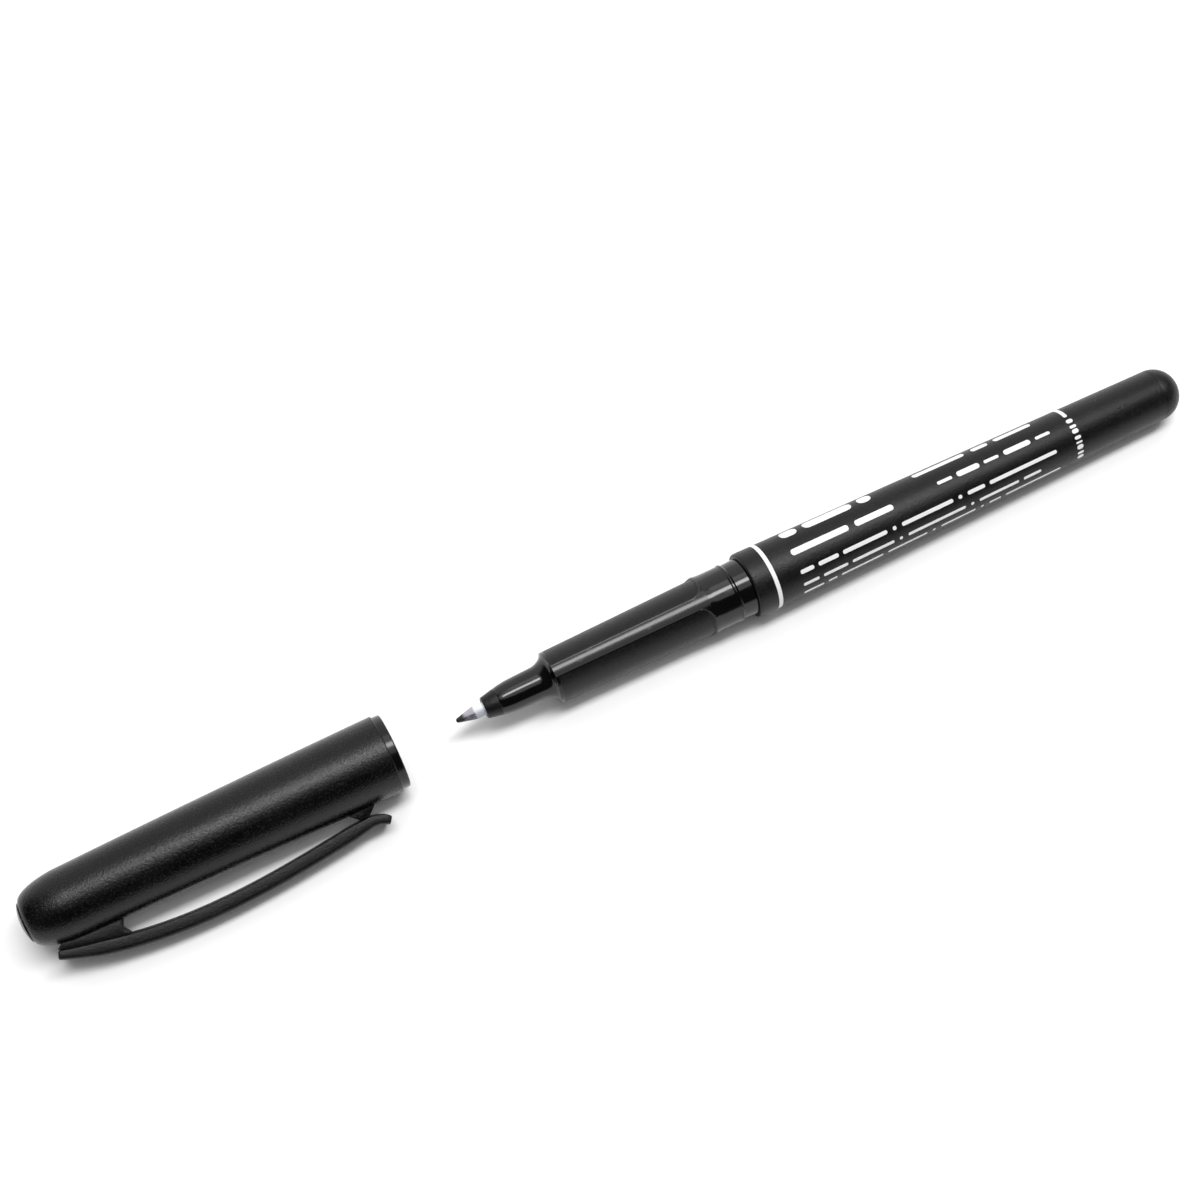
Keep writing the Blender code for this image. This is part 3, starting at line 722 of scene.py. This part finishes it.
barrel_points = [
    (BARREL_X, BARREL_FRONT_RADIUS - BARREL_CHAMFER, BARREL_FRONT_ROUND),
    (BARREL_CHAMFER_X, BARREL_FRONT_RADIUS, BARREL_CHAMFER_ROUND),
    (SEAM_X, BARREL_REAR_RADIUS, HAIRLINE),
    (SEAM_X, CORE_BORE, 0.0),
    (SOCKET_END_X, CORE_BORE, 0.0),
    (SOCKET_END_X, SOCKET_RADIUS, 0.0),
    (BARREL_X, SOCKET_RADIUS, EDGE_ROUND),
]
plug_points = [
    (PLUG_X, 0.0, 0.0),
    (PLUG_X, PLUG_SHANK_RADIUS, SOFT_ROUND),
    (SEAM_X + HAIRLINE, PLUG_SHANK_RADIUS, 0.0),
    (SEAM_X + HAIRLINE, BARREL_REAR_RADIUS, HAIRLINE),
    (PLUG_END_X, BARREL_REAR_RADIUS - DOME_TAPER, DOME_ROUND),
    (PLUG_END_X, 0.0, 0.0),
]
lay(turned(barrel_points, closed=True), "barrel_tube", PEN, [matt_black], "pen", ["barrel"])
lay(turned(plug_points), "end_dome", PEN, [matt_black], "pen", ["end_plug"])

# %% [markdown]
# The felt bundle and its film sit inside. They are turned between the ends that the frame gives, with a
# hole in the felt for the tail of the nib.

# %% Ink reservoir
CORE_X, CORE_END_X = span("ink_reservoir")
CORE_RADIUS = 2.4 * MM
CORE_HOLE = 1.35 * MM
CORE_HOLE_END_X = NIB_END_X + 0.3 * MM
CORE_FLOOR_ROUND = 0.1 * MM
CORE_RIM_ROUND = 0.2 * MM
FILM_INNER = 2.6 * MM
FILM_OUTER = 2.9 * MM

core_points = [
    (CORE_HOLE_END_X, 0.0, 0.0),
    (CORE_HOLE_END_X, CORE_HOLE, CORE_FLOOR_ROUND),
    (CORE_X, CORE_HOLE, CORE_RIM_ROUND),
    (CORE_X, CORE_RADIUS, SOFT_ROUND),
    (CORE_END_X, CORE_RADIUS, SOFT_ROUND),
    (CORE_END_X, 0.0, 0.0),
]
film_points = [(CORE_X, FILM_OUTER, 0.0), (CORE_END_X, FILM_OUTER, 0.0),
               (CORE_END_X, FILM_INNER, 0.0), (CORE_X, FILM_INNER, 0.0)]
film = turned(film_points, closed=True)
lay(turned(core_points), "felt_core", PEN, [ink_fibre], "pen", ["ink_reservoir"])
lay(film, "core_film", PEN, [clear_film], "pen", ["reservoir_film"])

# %% [markdown]
# The cap is turned too, seen from its mouth at X = 0 towards its closed end at minus X. Its side swells
# slightly and its end is a soft curve, so a small formula gives the radius at every station. A thin lip is
# set back at the mouth. The lip and the bore were moulded smooth and slide on the collar, so those faces
# get the worn gloss.

# %% Sizes of the cap
CAP_BACK_X = span("cap_shell")[0] - MOUTH_X
LIP_X = -1.3 * MM
LIP_RADIUS = 5.87 * MM
LIP_FLARE = 0.04 * MM
LIP_ROUND = 0.25 * MM
CAP_MOUTH_RADIUS = 6.17 * MM
CAP_MOUTH_ROUND = 0.12 * MM
CAP_BULGE = 0.12 * MM
CAP_ROUND_LENGTH = 6.8 * MM
CAP_ROUND_POWER = 1.85
CAP_ROUND_X = CAP_BACK_X + CAP_ROUND_LENGTH
CAP_REAR_RADIUS = 5.42 * MM
CAP_END_RADIUS = 3.15 * MM
CAP_BORE = 5.12 * MM
CAP_THROAT = 4.7 * MM
CAP_SEAT = 4.5 * MM
DISC_BORE = 2.4 * MM
RIDGE_X = -7.35 * MM
THROAT_X = -33.85 * MM
INNER_CAP_X = -36.25 * MM
SEAT_X_IN_CAP = -53.5 * MM
BORE_ROUND = 0.1 * MM
BEAD_X = -2.2 * MM
BEAD_HALF = 0.5 * MM
BEAD_HEIGHT = 0.14 * MM
BEAD_ROUND = 0.2 * MM


def cap_wall(x):
    """Outer radius of the cap: a side that swells a little, then a rounded end."""
    if x < CAP_ROUND_X:
        share = min(1.0, (CAP_ROUND_X - x) / CAP_ROUND_LENGTH)
        rise = (1.0 - share ** CAP_ROUND_POWER) ** (1.0 / CAP_ROUND_POWER)
        return CAP_END_RADIUS + (CAP_REAR_RADIUS - CAP_END_RADIUS) * rise
    share = (LIP_X - x) / (LIP_X - CAP_ROUND_X)
    straight = CAP_MOUTH_RADIUS + (CAP_REAR_RADIUS - CAP_MOUTH_RADIUS) * share
    return straight + 4.0 * CAP_BULGE * share * (1.0 - share)


print(f"cap {-CAP_BACK_X / MM:.1f} mm long, {2.0 * CAP_MOUTH_RADIUS / MM:.1f} mm across its mouth")

# %% Cap shell
CAP_STEPS = 24

side = [LIP_X + (CAP_ROUND_X - LIP_X) * step / CAP_STEPS for step in range(1, CAP_STEPS + 1)]
turns = [math.pi / 2 * step / CAP_STEPS for step in range(1, CAP_STEPS)]
end = [CAP_ROUND_X - CAP_ROUND_LENGTH * math.sin(turn) for turn in turns]
cap_points = [
    (0.0, LIP_RADIUS, LIP_ROUND),
    (LIP_X, LIP_RADIUS + LIP_FLARE, EDGE_ROUND),
    (LIP_X, CAP_MOUTH_RADIUS, CAP_MOUTH_ROUND),
]
cap_points += [(x, cap_wall(x), 0.0) for x in side + end]
cap_points += [
    (CAP_BACK_X, CAP_END_RADIUS, 0.0),
    (CAP_BACK_X, DISC_BORE, 0.0),
    (SEAT_X_IN_CAP, DISC_BORE, 0.0),
    (SEAT_X_IN_CAP, CAP_SEAT, 0.0),
    (INNER_CAP_X, CAP_SEAT, 0.0),
    (THROAT_X, CAP_THROAT, 0.0),
    (RIDGE_X, CAP_BORE, SOFT_ROUND),
    (BEAD_X - BEAD_HALF, CAP_BORE, BORE_ROUND),
    (BEAD_X, CAP_BORE - BEAD_HEIGHT, BEAD_ROUND),
    (BEAD_X + BEAD_HALF, CAP_BORE, BORE_ROUND),
    (0.0, CAP_BORE, BORE_ROUND),
]
cap = turned(cap_points, closed=True)
for face in cap.faces:
    middle = face.calc_center_median()
    inward = face.normal.dot(Vector((0.0, middle.y, middle.z))) < 0.0
    face.material_index = int(inward or middle.x > LIP_X - EDGE_ROUND)
lay(cap, "cap_sleeve", CAP, [satin_black, worn_black], "cap", ["cap_shell"])

# %% [markdown]
# Two more turned pieces close the cap. A domed disc is pressed into its end, and a soft inner cup seals
# round the neck so that the nib stays wet. The dome is a short list of (place, radius, rounding) in
# millimetres, from its rim to its middle.

# %% End disc and inner cap
DISC_X, DISC_BASE_X = (x - MOUTH_X for x in span("cap_end_disc"))
DISC_SEAT_X = CAP_BACK_X - 0.03 * MM
DISC_RADIUS = 3.09 * MM
DISC_SHANK_RADIUS = 2.1 * MM
DISC_SHANK_ROUND = 0.2 * MM
DISC_DOME = ((0.34, 3.07, 0.05), (0.02, 2.3, 0.7), (-0.20, 1.2, 0.6), (-0.26, 0.0, 0.0))
CUP_X, CUP_MOUTH_X = (x - MOUTH_X for x in span("inner_cap"))
CUP_RADIUS = 4.2 * MM
CUP_BORE = 3.1 * MM
CUP_FLOOR_X = CUP_X + 1.2 * MM
CUP_FLOOR_ROUND = 0.6 * MM
CUP_RIM_ROUND = 0.2 * MM
CUP_END_ROUND = 0.5 * MM

disc_points = [
    (DISC_BASE_X, 0.0, 0.0),
    (DISC_BASE_X, DISC_SHANK_RADIUS, DISC_SHANK_ROUND),
    (DISC_SEAT_X, DISC_SHANK_RADIUS, 0.0),
    (DISC_SEAT_X, DISC_RADIUS, 0.0),
]
disc_points += [(DISC_X + x * MM, radius * MM, rounding * MM) for x, radius, rounding in DISC_DOME]
cup_points = [
    (CUP_FLOOR_X, 0.0, 0.0),
    (CUP_FLOOR_X, CUP_BORE, CUP_FLOOR_ROUND),
    (CUP_MOUTH_X, CUP_BORE, SOFT_ROUND),
    (CUP_MOUTH_X, CUP_RADIUS, CUP_RIM_ROUND),
    (CUP_X, CUP_RADIUS, CUP_END_ROUND),
    (CUP_X, 0.0, 0.0),
]
lay(turned(disc_points), "cap_disc", CAP, [satin_black], "cap", ["cap_end_disc"])
lay(turned(cup_points), "seal_cup", CAP, [gloss_black], "cap", ["inner_cap"])

# %% [markdown]
# The clip is a springy strap that bows out from the cap, dips in again and flares at its tip. Its own
# frame has Z pointing away from the cap. The bow is one cubic curve and the flare a parabola that carries
# on its slope, so the heights of its ends and of the curve's two handles set the whole line.

# %% The line of the clip
CLIP_BELOW_LEVEL = math.radians(22.5)
CLIP = CAP @ Matrix.Rotation(math.pi / 2 + CLIP_BELOW_LEVEL, 4, "X")
CLIP_REAR = 56.27 * MM
CLIP_NECK = 8.0 * MM
CLIP_TIP = 4.9 * MM
REAR_HEIGHT = 6.27 * MM
REAR_PULL = 12.02 * MM
FRONT_PULL = 10.12 * MM
NECK_HEIGHT = 8.29 * MM
TIP_HEIGHT = 9.20 * MM
CLIP_THICKNESS = 2.2 * MM
CLIP_END_THICKNESS = 1.35 * MM
CLIP_TAPER_LENGTH = 6.0 * MM


def clip_height(depth):
    """Height of the strap's middle over the cap's axis, at a depth from the cap's mouth."""
    length = CLIP_REAR - CLIP_NECK
    if depth < CLIP_NECK:
        run = CLIP_NECK - depth
        flare = CLIP_NECK - CLIP_TIP
        slope = 3.0 * (NECK_HEIGHT - FRONT_PULL) / length
        curl = (TIP_HEIGHT - NECK_HEIGHT - slope * flare) / flare ** 2
        return NECK_HEIGHT + slope * run + curl * run * run
    share = (CLIP_REAR - depth) / length
    rest = 1.0 - share
    bow = 3.0 * rest * share * (rest * REAR_PULL + share * FRONT_PULL)
    return rest ** 3 * REAR_HEIGHT + bow + share ** 3 * NECK_HEIGHT


def clip_thickness(depth):
    """Thickness of the strap, which thins towards its two ends."""
    to_end = max(0.0, min(CLIP_REAR - depth, depth - CLIP_TIP))
    share = min(1.0, to_end / CLIP_TAPER_LENGTH)
    return CLIP_END_THICKNESS + (CLIP_THICKNESS - CLIP_END_THICKNESS) * share


print(f"clip from {CLIP_REAR / MM:.1f} to {CLIP_TIP / MM:.1f} mm behind the mouth")

# %% [markdown]
# The strap is one bar pushed along that line: a small rounded rectangle is drawn at the rear end and
# extruded again and again, each time moved and turned to the next place. Extruding keeps tidy rings of
# faces, so the strap can later bend smoothly where it flexes.

# %% Clip strap
CLIP_WIDTH = 4.0 * MM
CLIP_INNER_ROUND = 0.16 * MM
CLIP_INNER_STEPS = 3
CLIP_OUTER_ROUND = 0.80 * MM
CLIP_OUTER_STEPS = 8
CLIP_END_ROUND = 0.2 * MM
CLIP_END_STEPS = 3
STRAP_STEPS = 72
STEP_LENGTH = (CLIP_TIP - CLIP_REAR) / STRAP_STEPS


def strap_place(depth):
    """The matrix of the strap's cross-section at a depth."""
    slope = (clip_height(depth + STEP_LENGTH / 2) - clip_height(depth - STEP_LENGTH / 2)) / STEP_LENGTH
    turn = Matrix.Rotation(math.atan(slope), 4, "Y")
    squeeze = Matrix.Diagonal((1.0, 1.0, clip_thickness(depth) / CLIP_THICKNESS, 1.0))
    return Matrix.Translation((-depth, 0.0, clip_height(depth))) @ turn @ squeeze


strap = bmesh.new()
half_width, half_thickness = CLIP_WIDTH / 2, CLIP_THICKNESS / 2
section = [(half_width, -half_thickness), (half_width, half_thickness), (-half_width, half_thickness),
           (-half_width, -half_thickness)]
section_verts = [strap.verts.new((0.0, y, z)) for y, z in section]
strap.faces.new(section_verts)
inner_verts = [section_verts[0], section_verts[3]]
round_off(strap, section_verts[1:3], CLIP_OUTER_ROUND, CLIP_OUTER_STEPS, "VERTICES")
round_off(strap, inner_verts, CLIP_INNER_ROUND, CLIP_INNER_STEPS, "VERTICES")
bmesh.ops.transform(strap, matrix=strap_place(CLIP_REAR), verts=strap.verts[:])
end_face = strap.faces[:][0]
for step in range(STRAP_STEPS):
    depth = CLIP_REAR + STEP_LENGTH * step
    move = strap_place(depth + STEP_LENGTH) @ strap_place(depth).inverted()
    grown = bmesh.ops.extrude_face_region(strap, geom=[end_face], use_keep_orig=step == 0)["geom"]
    end_face = next(item for item in grown if isinstance(item, bmesh.types.BMFace))
    bmesh.ops.transform(strap, matrix=move, verts=end_face.verts[:])
end_rims = [edge for face in strap.faces if len(face.verts) > 4 for edge in face.edges]
round_off(strap, end_rims, CLIP_END_ROUND, CLIP_END_STEPS, "EDGES")
bmesh.ops.recalc_face_normals(strap, faces=strap.faces[:])
clip_strap = lay(strap, "clip_spring", CLIP, [matt_black], stands_for=["clip_strap"])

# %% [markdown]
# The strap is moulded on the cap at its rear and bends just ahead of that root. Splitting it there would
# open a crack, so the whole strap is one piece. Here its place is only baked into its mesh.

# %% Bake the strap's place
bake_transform(clip_strap)

# %% [markdown]
# A web carries the root of the clip, and where the strap dips closest a nub stands on the cap's wall, so
# that the clip pinches a pocket's cloth there. Both are flat outlines drawn from the side, extruded to
# their width and bevelled, with their feet sunk into the cap's wall. The web stops just short of the strap,
# and a narrower core inside it closes the gap, which leaves a dark groove along the joint.

# %% Clip web
WEB_WIDTH = 2.9 * MM
WEB_CORE_WIDTH = 2.0 * MM
WEB_FRONT = 45.7 * MM
WEB_REAR = 56.1 * MM
WEB_HOLLOW = 0.75 * MM
WEB_SINK = 0.35 * MM
WEB_GROOVE = 0.16 * MM
WEB_STEPS = 10
SLAB_ROUND = 0.10 * MM
SLAB_STEPS = 3


def strap_inside(depth):
    """Height of the strap's inner side over the cap's axis."""
    return clip_height(depth) - clip_thickness(depth) / 2


def side_slab(shape, line, width):
    """Add a slab to a shape: an outline of (depth, height) points, extruded to a width and bevelled."""
    face = shape.faces.new([shape.verts.new((-depth, -width / 2, height)) for depth, height in line])
    grown = bmesh.ops.extrude_face_region(shape, geom=[face], use_keep_orig=True)["geom"]
    bmesh.ops.translate(shape, vec=(0.0, width, 0.0),
                        verts=[item for item in grown if isinstance(item, bmesh.types.BMVert)])
    far_face = next(item for item in grown if isinstance(item, bmesh.types.BMFace))
    round_off(shape, face.edges[:] + far_face.edges[:], SLAB_ROUND, SLAB_STEPS, "EDGES")
    bmesh.ops.recalc_face_normals(shape, faces=shape.faces[:])


def web_line(gap):
    """The web's outline from the side, with its top this far below the strap's inner side."""
    run = [WEB_REAR + (WEB_FRONT - WEB_REAR) * step / WEB_STEPS for step in range(WEB_STEPS + 1)]
    line = [(depth, strap_inside(depth) - gap) for depth in run]
    drop = line[-1][1] - cap_wall(-WEB_FRONT) + WEB_SINK
    for step in range(1, WEB_STEPS + 1):
        share = step / WEB_STEPS
        line.append((WEB_FRONT + WEB_HOLLOW * math.sin(math.pi * share), line[WEB_STEPS][1] - drop * share))
    return line + [(depth, cap_wall(-depth) - WEB_SINK) for depth in reversed(run[1:-1])]


web = bmesh.new()
side_slab(web, web_line(WEB_GROOVE), WEB_WIDTH)
side_slab(web, web_line(-CLIP_END_THICKNESS / 2), WEB_CORE_WIDTH)
lay(web, "clip_web", CLIP, [matt_black], "cap")

# %% Clip nub
NUB_FRONT = 6.2 * MM
NUB_REAR = 10.3 * MM
NUB_SLOPE = 1.3 * MM
NUB_WIDTH = 2.2 * MM
NUB_GAP = 0.12 * MM

crest = [(depth, strap_inside(depth) - NUB_GAP) for depth in (NUB_FRONT + NUB_SLOPE, NUB_REAR - NUB_SLOPE)]
nub_line = [(NUB_FRONT, cap_wall(-NUB_FRONT) - WEB_SINK), (NUB_FRONT, cap_wall(-NUB_FRONT)), *crest,
            (NUB_REAR, cap_wall(-NUB_REAR)), (NUB_REAR, cap_wall(-NUB_REAR) - WEB_SINK)]
nub = bmesh.new()
side_slab(nub, nub_line, NUB_WIDTH)
lay(nub, "clip_nub", CLIP, [satin_black], "cap")

# %% [markdown]
# A printed ring goes round the front of the barrel. It is a thin film of ink, turned from a flat rectangle
# that stands less than two hundredths of a millimetre proud of the barrel.

# %% Printed ring
INK_HEIGHT = 0.016 * MM
INK_SINK = 0.010 * MM
RING_WIDTH = 0.68 * MM
FRONT_RING_X = 53.35 * MM


def barrel_radius(x):
    """Radius of the tapered barrel at a station."""
    share = (x - BARREL_X) / (SEAM_X - BARREL_X)
    return BARREL_FRONT_RADIUS + (BARREL_REAR_RADIUS - BARREL_FRONT_RADIUS) * share


ring_front, ring_rear = FRONT_RING_X - RING_WIDTH / 2, FRONT_RING_X + RING_WIDTH / 2
ring_points = [(ring_front, barrel_radius(ring_front) - INK_SINK, 0.0),
               (ring_front, barrel_radius(ring_front) + INK_HEIGHT, 0.0),
               (ring_rear, barrel_radius(ring_rear) + INK_HEIGHT, 0.0),
               (ring_rear, barrel_radius(ring_rear) - INK_SINK, 0.0)]
lay(turned(ring_points, closed=True), "front_ring", PEN, [white_ink], "pen")

# %% [markdown]
# The barrel is printed with a plain pattern: rows of rounded bars along it, and a rear ring that breaks up
# into short dashes. Like a printing screen, the marks are first drawn flat, with X along the barrel and Y
# round it, then cut into narrow strips, given the thickness of the ink, and wrapped on the barrel. Each row
# is (angle from the top, height, and the start and length of its bars), and each dash (angle, spread), in
# degrees and millimetres.

# %% Rows of printed bars
FLAT_RADIUS = 5.0 * MM
REAR_RING_X = 108.85 * MM
DASH_LENGTH = 1.15 * MM
BAR_ROUND = 0.45
BAR_STEPS = 6
BACK_ANGLE = -205.0
RING_BREAK = -18.0
ROWS = (
    (-44.0, 2.1, ((57.6, 2.9), (61.7, 8.6), (71.5, 2.3))),
    (2.0, 1.0, ((57.4, 10.2), (68.8, 6.9))),
    (39.0, 0.66, ((57.5, 2.4), (60.7, 3.6), (65.1, 8.0), (74.1, 0.66), (75.8, 9.4), (86.2, 0.66),
                  (87.9, 3.2), (92.0, 12.6))),
    (64.0, 0.56, ((57.5, 2.8), (61.1, 4.4), (66.3, 7.6), (74.9, 0.56), (76.5, 10.6), (88.1, 0.56),
                  (89.7, 7.4), (98.0, 3.3))),
    (86.0, 0.54, ((57.5, 3.6), (61.9, 1.6), (64.3, 7.6), (72.8, 7.2), (81.0, 0.54), (82.6, 6.4),
                  (90.0, 0.54), (91.6, 2.2), (94.7, 10.4))),
    (-45.0, 1.2, ((81.6, 9.4), (92.4, 3.0), (96.6, 6.8))),
    (-2.0, 0.55, ((84.0, 2.7), (92.6, 2.7), (102.2, 2.7))),
    (-2.0, 0.95, ((87.6, 4.1), (96.3, 4.9))),
)
DASHES = ((-6.0, 9.0), (7.5, 6.0), (18.0, 9.0), (32.0, 7.0), (42.5, 4.0), (53.0, 10.0), (67.0, 6.0),
          (79.0, 9.0))


def add_bar(shape, x, y, length, height):
    """Add one flat bar with round ends, from its front end and its middle line."""
    low, high = y - height / 2, y + height / 2
    corners_of_bar = ((x, low), (x + length, low), (x + length, high), (x, high))
    verts = [shape.verts.new((along, across, 0.0)) for along, across in corners_of_bar]
    shape.faces.new(verts)
    round_off(shape, verts, BAR_ROUND * min(length, height), BAR_STEPS, "VERTICES")


def round_barrel(degrees):
    """Length round the barrel in the flat drawing, from its top towards the camera's side."""
    return FLAT_RADIUS * math.radians(degrees)


marks = bmesh.new()
for angle, height, bars in ROWS:
    for start, length in bars:
        add_bar(marks, start * MM, round_barrel(angle), length * MM, height * MM)
for angle, spread in DASHES:
    add_bar(marks, REAR_RING_X - DASH_LENGTH / 2, round_barrel(angle), DASH_LENGTH, round_barrel(spread))
arc_middle, arc_spread = (BACK_ANGLE + RING_BREAK) / 2, RING_BREAK - BACK_ANGLE
add_bar(marks, REAR_RING_X - RING_WIDTH / 2, round_barrel(arc_middle), RING_WIDTH, round_barrel(arc_spread))
print("printed marks:", len(marks.faces))

# %% Wrap the print on the barrel
STRIP = 0.16 * MM

lowest = min(vert.co.y for vert in marks.verts)
highest = max(vert.co.y for vert in marks.verts)
for step in range(1, int((highest - lowest) / STRIP)):
    bmesh.ops.bisect_plane(marks, geom=marks.verts[:] + marks.edges[:] + marks.faces[:], dist=MERGE,
                           plane_co=(0.0, lowest + STRIP * step, 0.0), plane_no=(0.0, 1.0, 0.0))
grown = bmesh.ops.extrude_face_region(marks, geom=marks.faces[:], use_keep_orig=True)["geom"]
top_verts = [item for item in grown if isinstance(item, bmesh.types.BMVert)]
bmesh.ops.translate(marks, vec=(0.0, 0.0, INK_HEIGHT + INK_SINK), verts=top_verts)
for vert in marks.verts:
    radius = barrel_radius(vert.co.x) + vert.co.z - INK_SINK
    angle = vert.co.y / FLAT_RADIUS
    vert.co = (vert.co.x, -radius * math.sin(angle), radius * math.cos(angle))
bmesh.ops.recalc_face_normals(marks, faces=marks.faces[:])
lay(marks, "print_marks", PEN, [white_ink], "pen")

# %% [markdown]
# Near the rear end two tiny scars remain where the plastic entered the mould. Each is a low ring, turned
# on a line that points straight out of the barrel.

# %% Gate scars
SCAR_RADIUS = 0.32 * MM
SCAR_HEIGHT = 0.05 * MM
SCAR_CREST = 0.7
SCAR_ROUND = 0.03 * MM
SCAR_ANGLE = math.radians(13.0)
SCAR_PLACES = (117.6 * MM, 118.7 * MM)

for number, x in enumerate(SCAR_PLACES, 1):
    radius = barrel_radius(x)
    outward = Vector((0.0, -math.sin(SCAR_ANGLE), math.cos(SCAR_ANGLE)))
    place = Matrix.Translation((x, 0.0, 0.0)) @ outward.to_track_quat("X", "Z").to_matrix().to_4x4()
    scar_points = [(radius - SCAR_HEIGHT, SCAR_RADIUS / 2, 0.0),
                   (radius + SCAR_HEIGHT, SCAR_RADIUS * SCAR_CREST, SCAR_ROUND),
                   (radius - SCAR_HEIGHT, SCAR_RADIUS, 0.0)]
    scar = turned(scar_points, closed=True)
    lay(scar, f"gate_scar_{number}", PEN @ place, [gloss_black], "pen")

# %% [markdown]
# The table is one very large pale plane, so that it reaches the horizon in low views. It is lit like the
# marker and keeps the marker's shadow. A little light of its own, seen only by the camera, in reflections
# and through clear plastic, lifts it to the white of the photograph. Far out, where no lamp reaches, that
# light grows to full white, so that low views have no dark horizon.

# %% Table
TABLE_SIZE = 30.0
TABLE_COLOUR = (0.97, 0.97, 0.97, 1.0)
SPECKLE_COLOUR = (0.94, 0.94, 0.94, 1.0)
SPECKLE_SCALE = 0.02
SPECKLE_SHARE = 0.05
TABLE_LIFT = 0.045
LIT_REACH = 0.6
DARK_REACH = 2.5
CAMERA_RAY, GLOSSY_RAY, TRANSMISSION_RAY = 0, 3, 6


def pale_table(sheet, where):
    """Draw a white table that keeps shadows and is bright as far as the horizon."""
    rays = [sheet.add("ShaderNodeLightPath", output=kind)
            for kind in (CAMERA_RAY, GLOSSY_RAY, TRANSMISSION_RAY)]
    seen = rays[0].larger(rays[1]).larger(rays[2])
    distance = sheet.add("ShaderNodeVectorMath", {"operation": "LENGTH"}, {0: where}, output=1)
    far = distance.ramp(LIT_REACH, DARK_REACH)
    speckle = sheet.noise(where, SPECKLE_SCALE) * SPECKLE_SHARE
    paint = sheet.add("ShaderNodeBsdfDiffuse", None, {
        "Color": sheet.blend(speckle, TABLE_COLOUR, SPECKLE_COLOUR)})
    glow = sheet.add("ShaderNodeEmission", None, {"Color": seen * far.larger(TABLE_LIFT)})
    return sheet.add("ShaderNodeAddShader", None, {0: paint, 1: glow})


table_shape = bmesh.new()
bmesh.ops.create_grid(table_shape, x_segments=1, y_segments=1, size=TABLE_SIZE / 2)
table_mesh = bpy.data.meshes.new("table")
table_shape.to_mesh(table_mesh)
table_shape.free()
table_mesh.materials.append(new_finish("pale_table", pale_table))
table = bpy.data.objects.new("table", table_mesh)
bpy.context.scene.collection.objects.link(table)
print("table:", TABLE_SIZE, "m across")

# %% [markdown]
# A long strip lamp hangs over the marker and draws the narrow highlight along it. A wide soft lamp round it
# fills in, as a white tent would. The room behind the marker is bright and the side of the camera is dark.
# Black plastic shows mostly what it reflects, so the world is a smooth ramp between the two. Near and
# below the horizon the world turns white all round, which low views show beyond the table.

# %% Lamps
STRIP_PLACE = Vector((0.50, 0.085, 2.0))
STRIP_SIZE = (2.0, 0.44)
STRIP_GLOW = 11.8
WIDE_TILT = (math.radians(-3.0), math.radians(8.0), 0.0)
WIDE_ANGLE = math.radians(60.0)
WIDE_LEVEL = 0.30


def hang_lamp(name, kind, energy):
    """Add a lamp, which shines straight down until it is turned."""
    lamp = bpy.data.lights.new(name, kind)
    lamp.energy = energy
    lamp_object = bpy.data.objects.new(name, lamp)
    bpy.context.scene.collection.objects.link(lamp_object)
    return lamp, lamp_object


strip_lamp, strip_object = hang_lamp("strip_lamp", "AREA", STRIP_GLOW * math.pi * math.prod(STRIP_SIZE))
strip_lamp.shape = "RECTANGLE"
strip_lamp.size, strip_lamp.size_y = STRIP_SIZE
strip_object.location = STRIP_PLACE
wide_lamp, wide_object = hang_lamp("wide_lamp", "SUN", WIDE_LEVEL * math.pi)
wide_lamp.angle = WIDE_ANGLE
wide_object.rotation_euler = WIDE_TILT
print("strip lamp", round(strip_lamp.energy, 1), "W, wide lamp", round(wide_lamp.energy, 2))

# %% Room
ROOM_BRIGHT = 0.96
ROOM_DARK = 0.024
CARD_SIDE = 0.2
CARD_SLOPE = 0.6
CARD_EDGES = (0.0, 0.46)
WALL_EDGES = (0.05, 0.12)

room = bpy.data.worlds.new("room")
room.use_nodes = True
sheet = Sheet(room.node_tree)
direction = sheet.add("ShaderNodeTexCoord")
to_side, to_back, upward = (sheet.add("ShaderNodeSeparateXYZ", None, {"Vector": direction}, output=axis)
                            for axis in range(3))
aside = to_side - CARD_SIDE
card = to_back - aside.math("ABSOLUTE", aside) * CARD_SLOPE
level = ROOM_DARK + card.ramp(*CARD_EDGES) * (ROOM_BRIGHT - ROOM_DARK)
level = level.larger(1.0 - upward.ramp(*WALL_EDGES))
sheet.add("ShaderNodeOutputWorld", None, {
    "Surface": sheet.add("ShaderNodeBackground", None, {"Color": level})})
bpy.context.scene.world = room
bpy.context.scene.view_settings.view_transform = "Standard"
print("room from", ROOM_DARK, "to", ROOM_BRIGHT)

# %% [markdown]
# The camera looks steeply down from the marker's left front. Its angle and distance come from fitting the
# marker's known lengths to the photograph, with the lens of a longish normal view.

# %% Camera
CAMERA_PLACE = Vector((-115.3, -101.9, 291.3)) * MM
CAMERA_AZIMUTH = math.radians(-27.016)
CAMERA_ELEVATION = math.radians(66.624)
CAMERA_LENS = 60.0
CAMERA_SENSOR = 36.0
CAMERA_NEAR = 0.01
CAMERA_FAR = 100.0

camera = bpy.data.cameras.new("photo_camera")
camera.lens = CAMERA_LENS
camera.sensor_width = CAMERA_SENSOR
camera.clip_start = CAMERA_NEAR
camera.clip_end = CAMERA_FAR
camera_object = bpy.data.objects.new("photo_camera", camera)
camera_object.location = CAMERA_PLACE
camera_object.rotation_euler = (math.pi / 2 - CAMERA_ELEVATION, 0.0, CAMERA_AZIMUTH)
bpy.context.scene.collection.objects.link(camera_object)
bpy.context.scene.camera = camera_object
print("camera at", [round(value, 3) for value in CAMERA_PLACE])
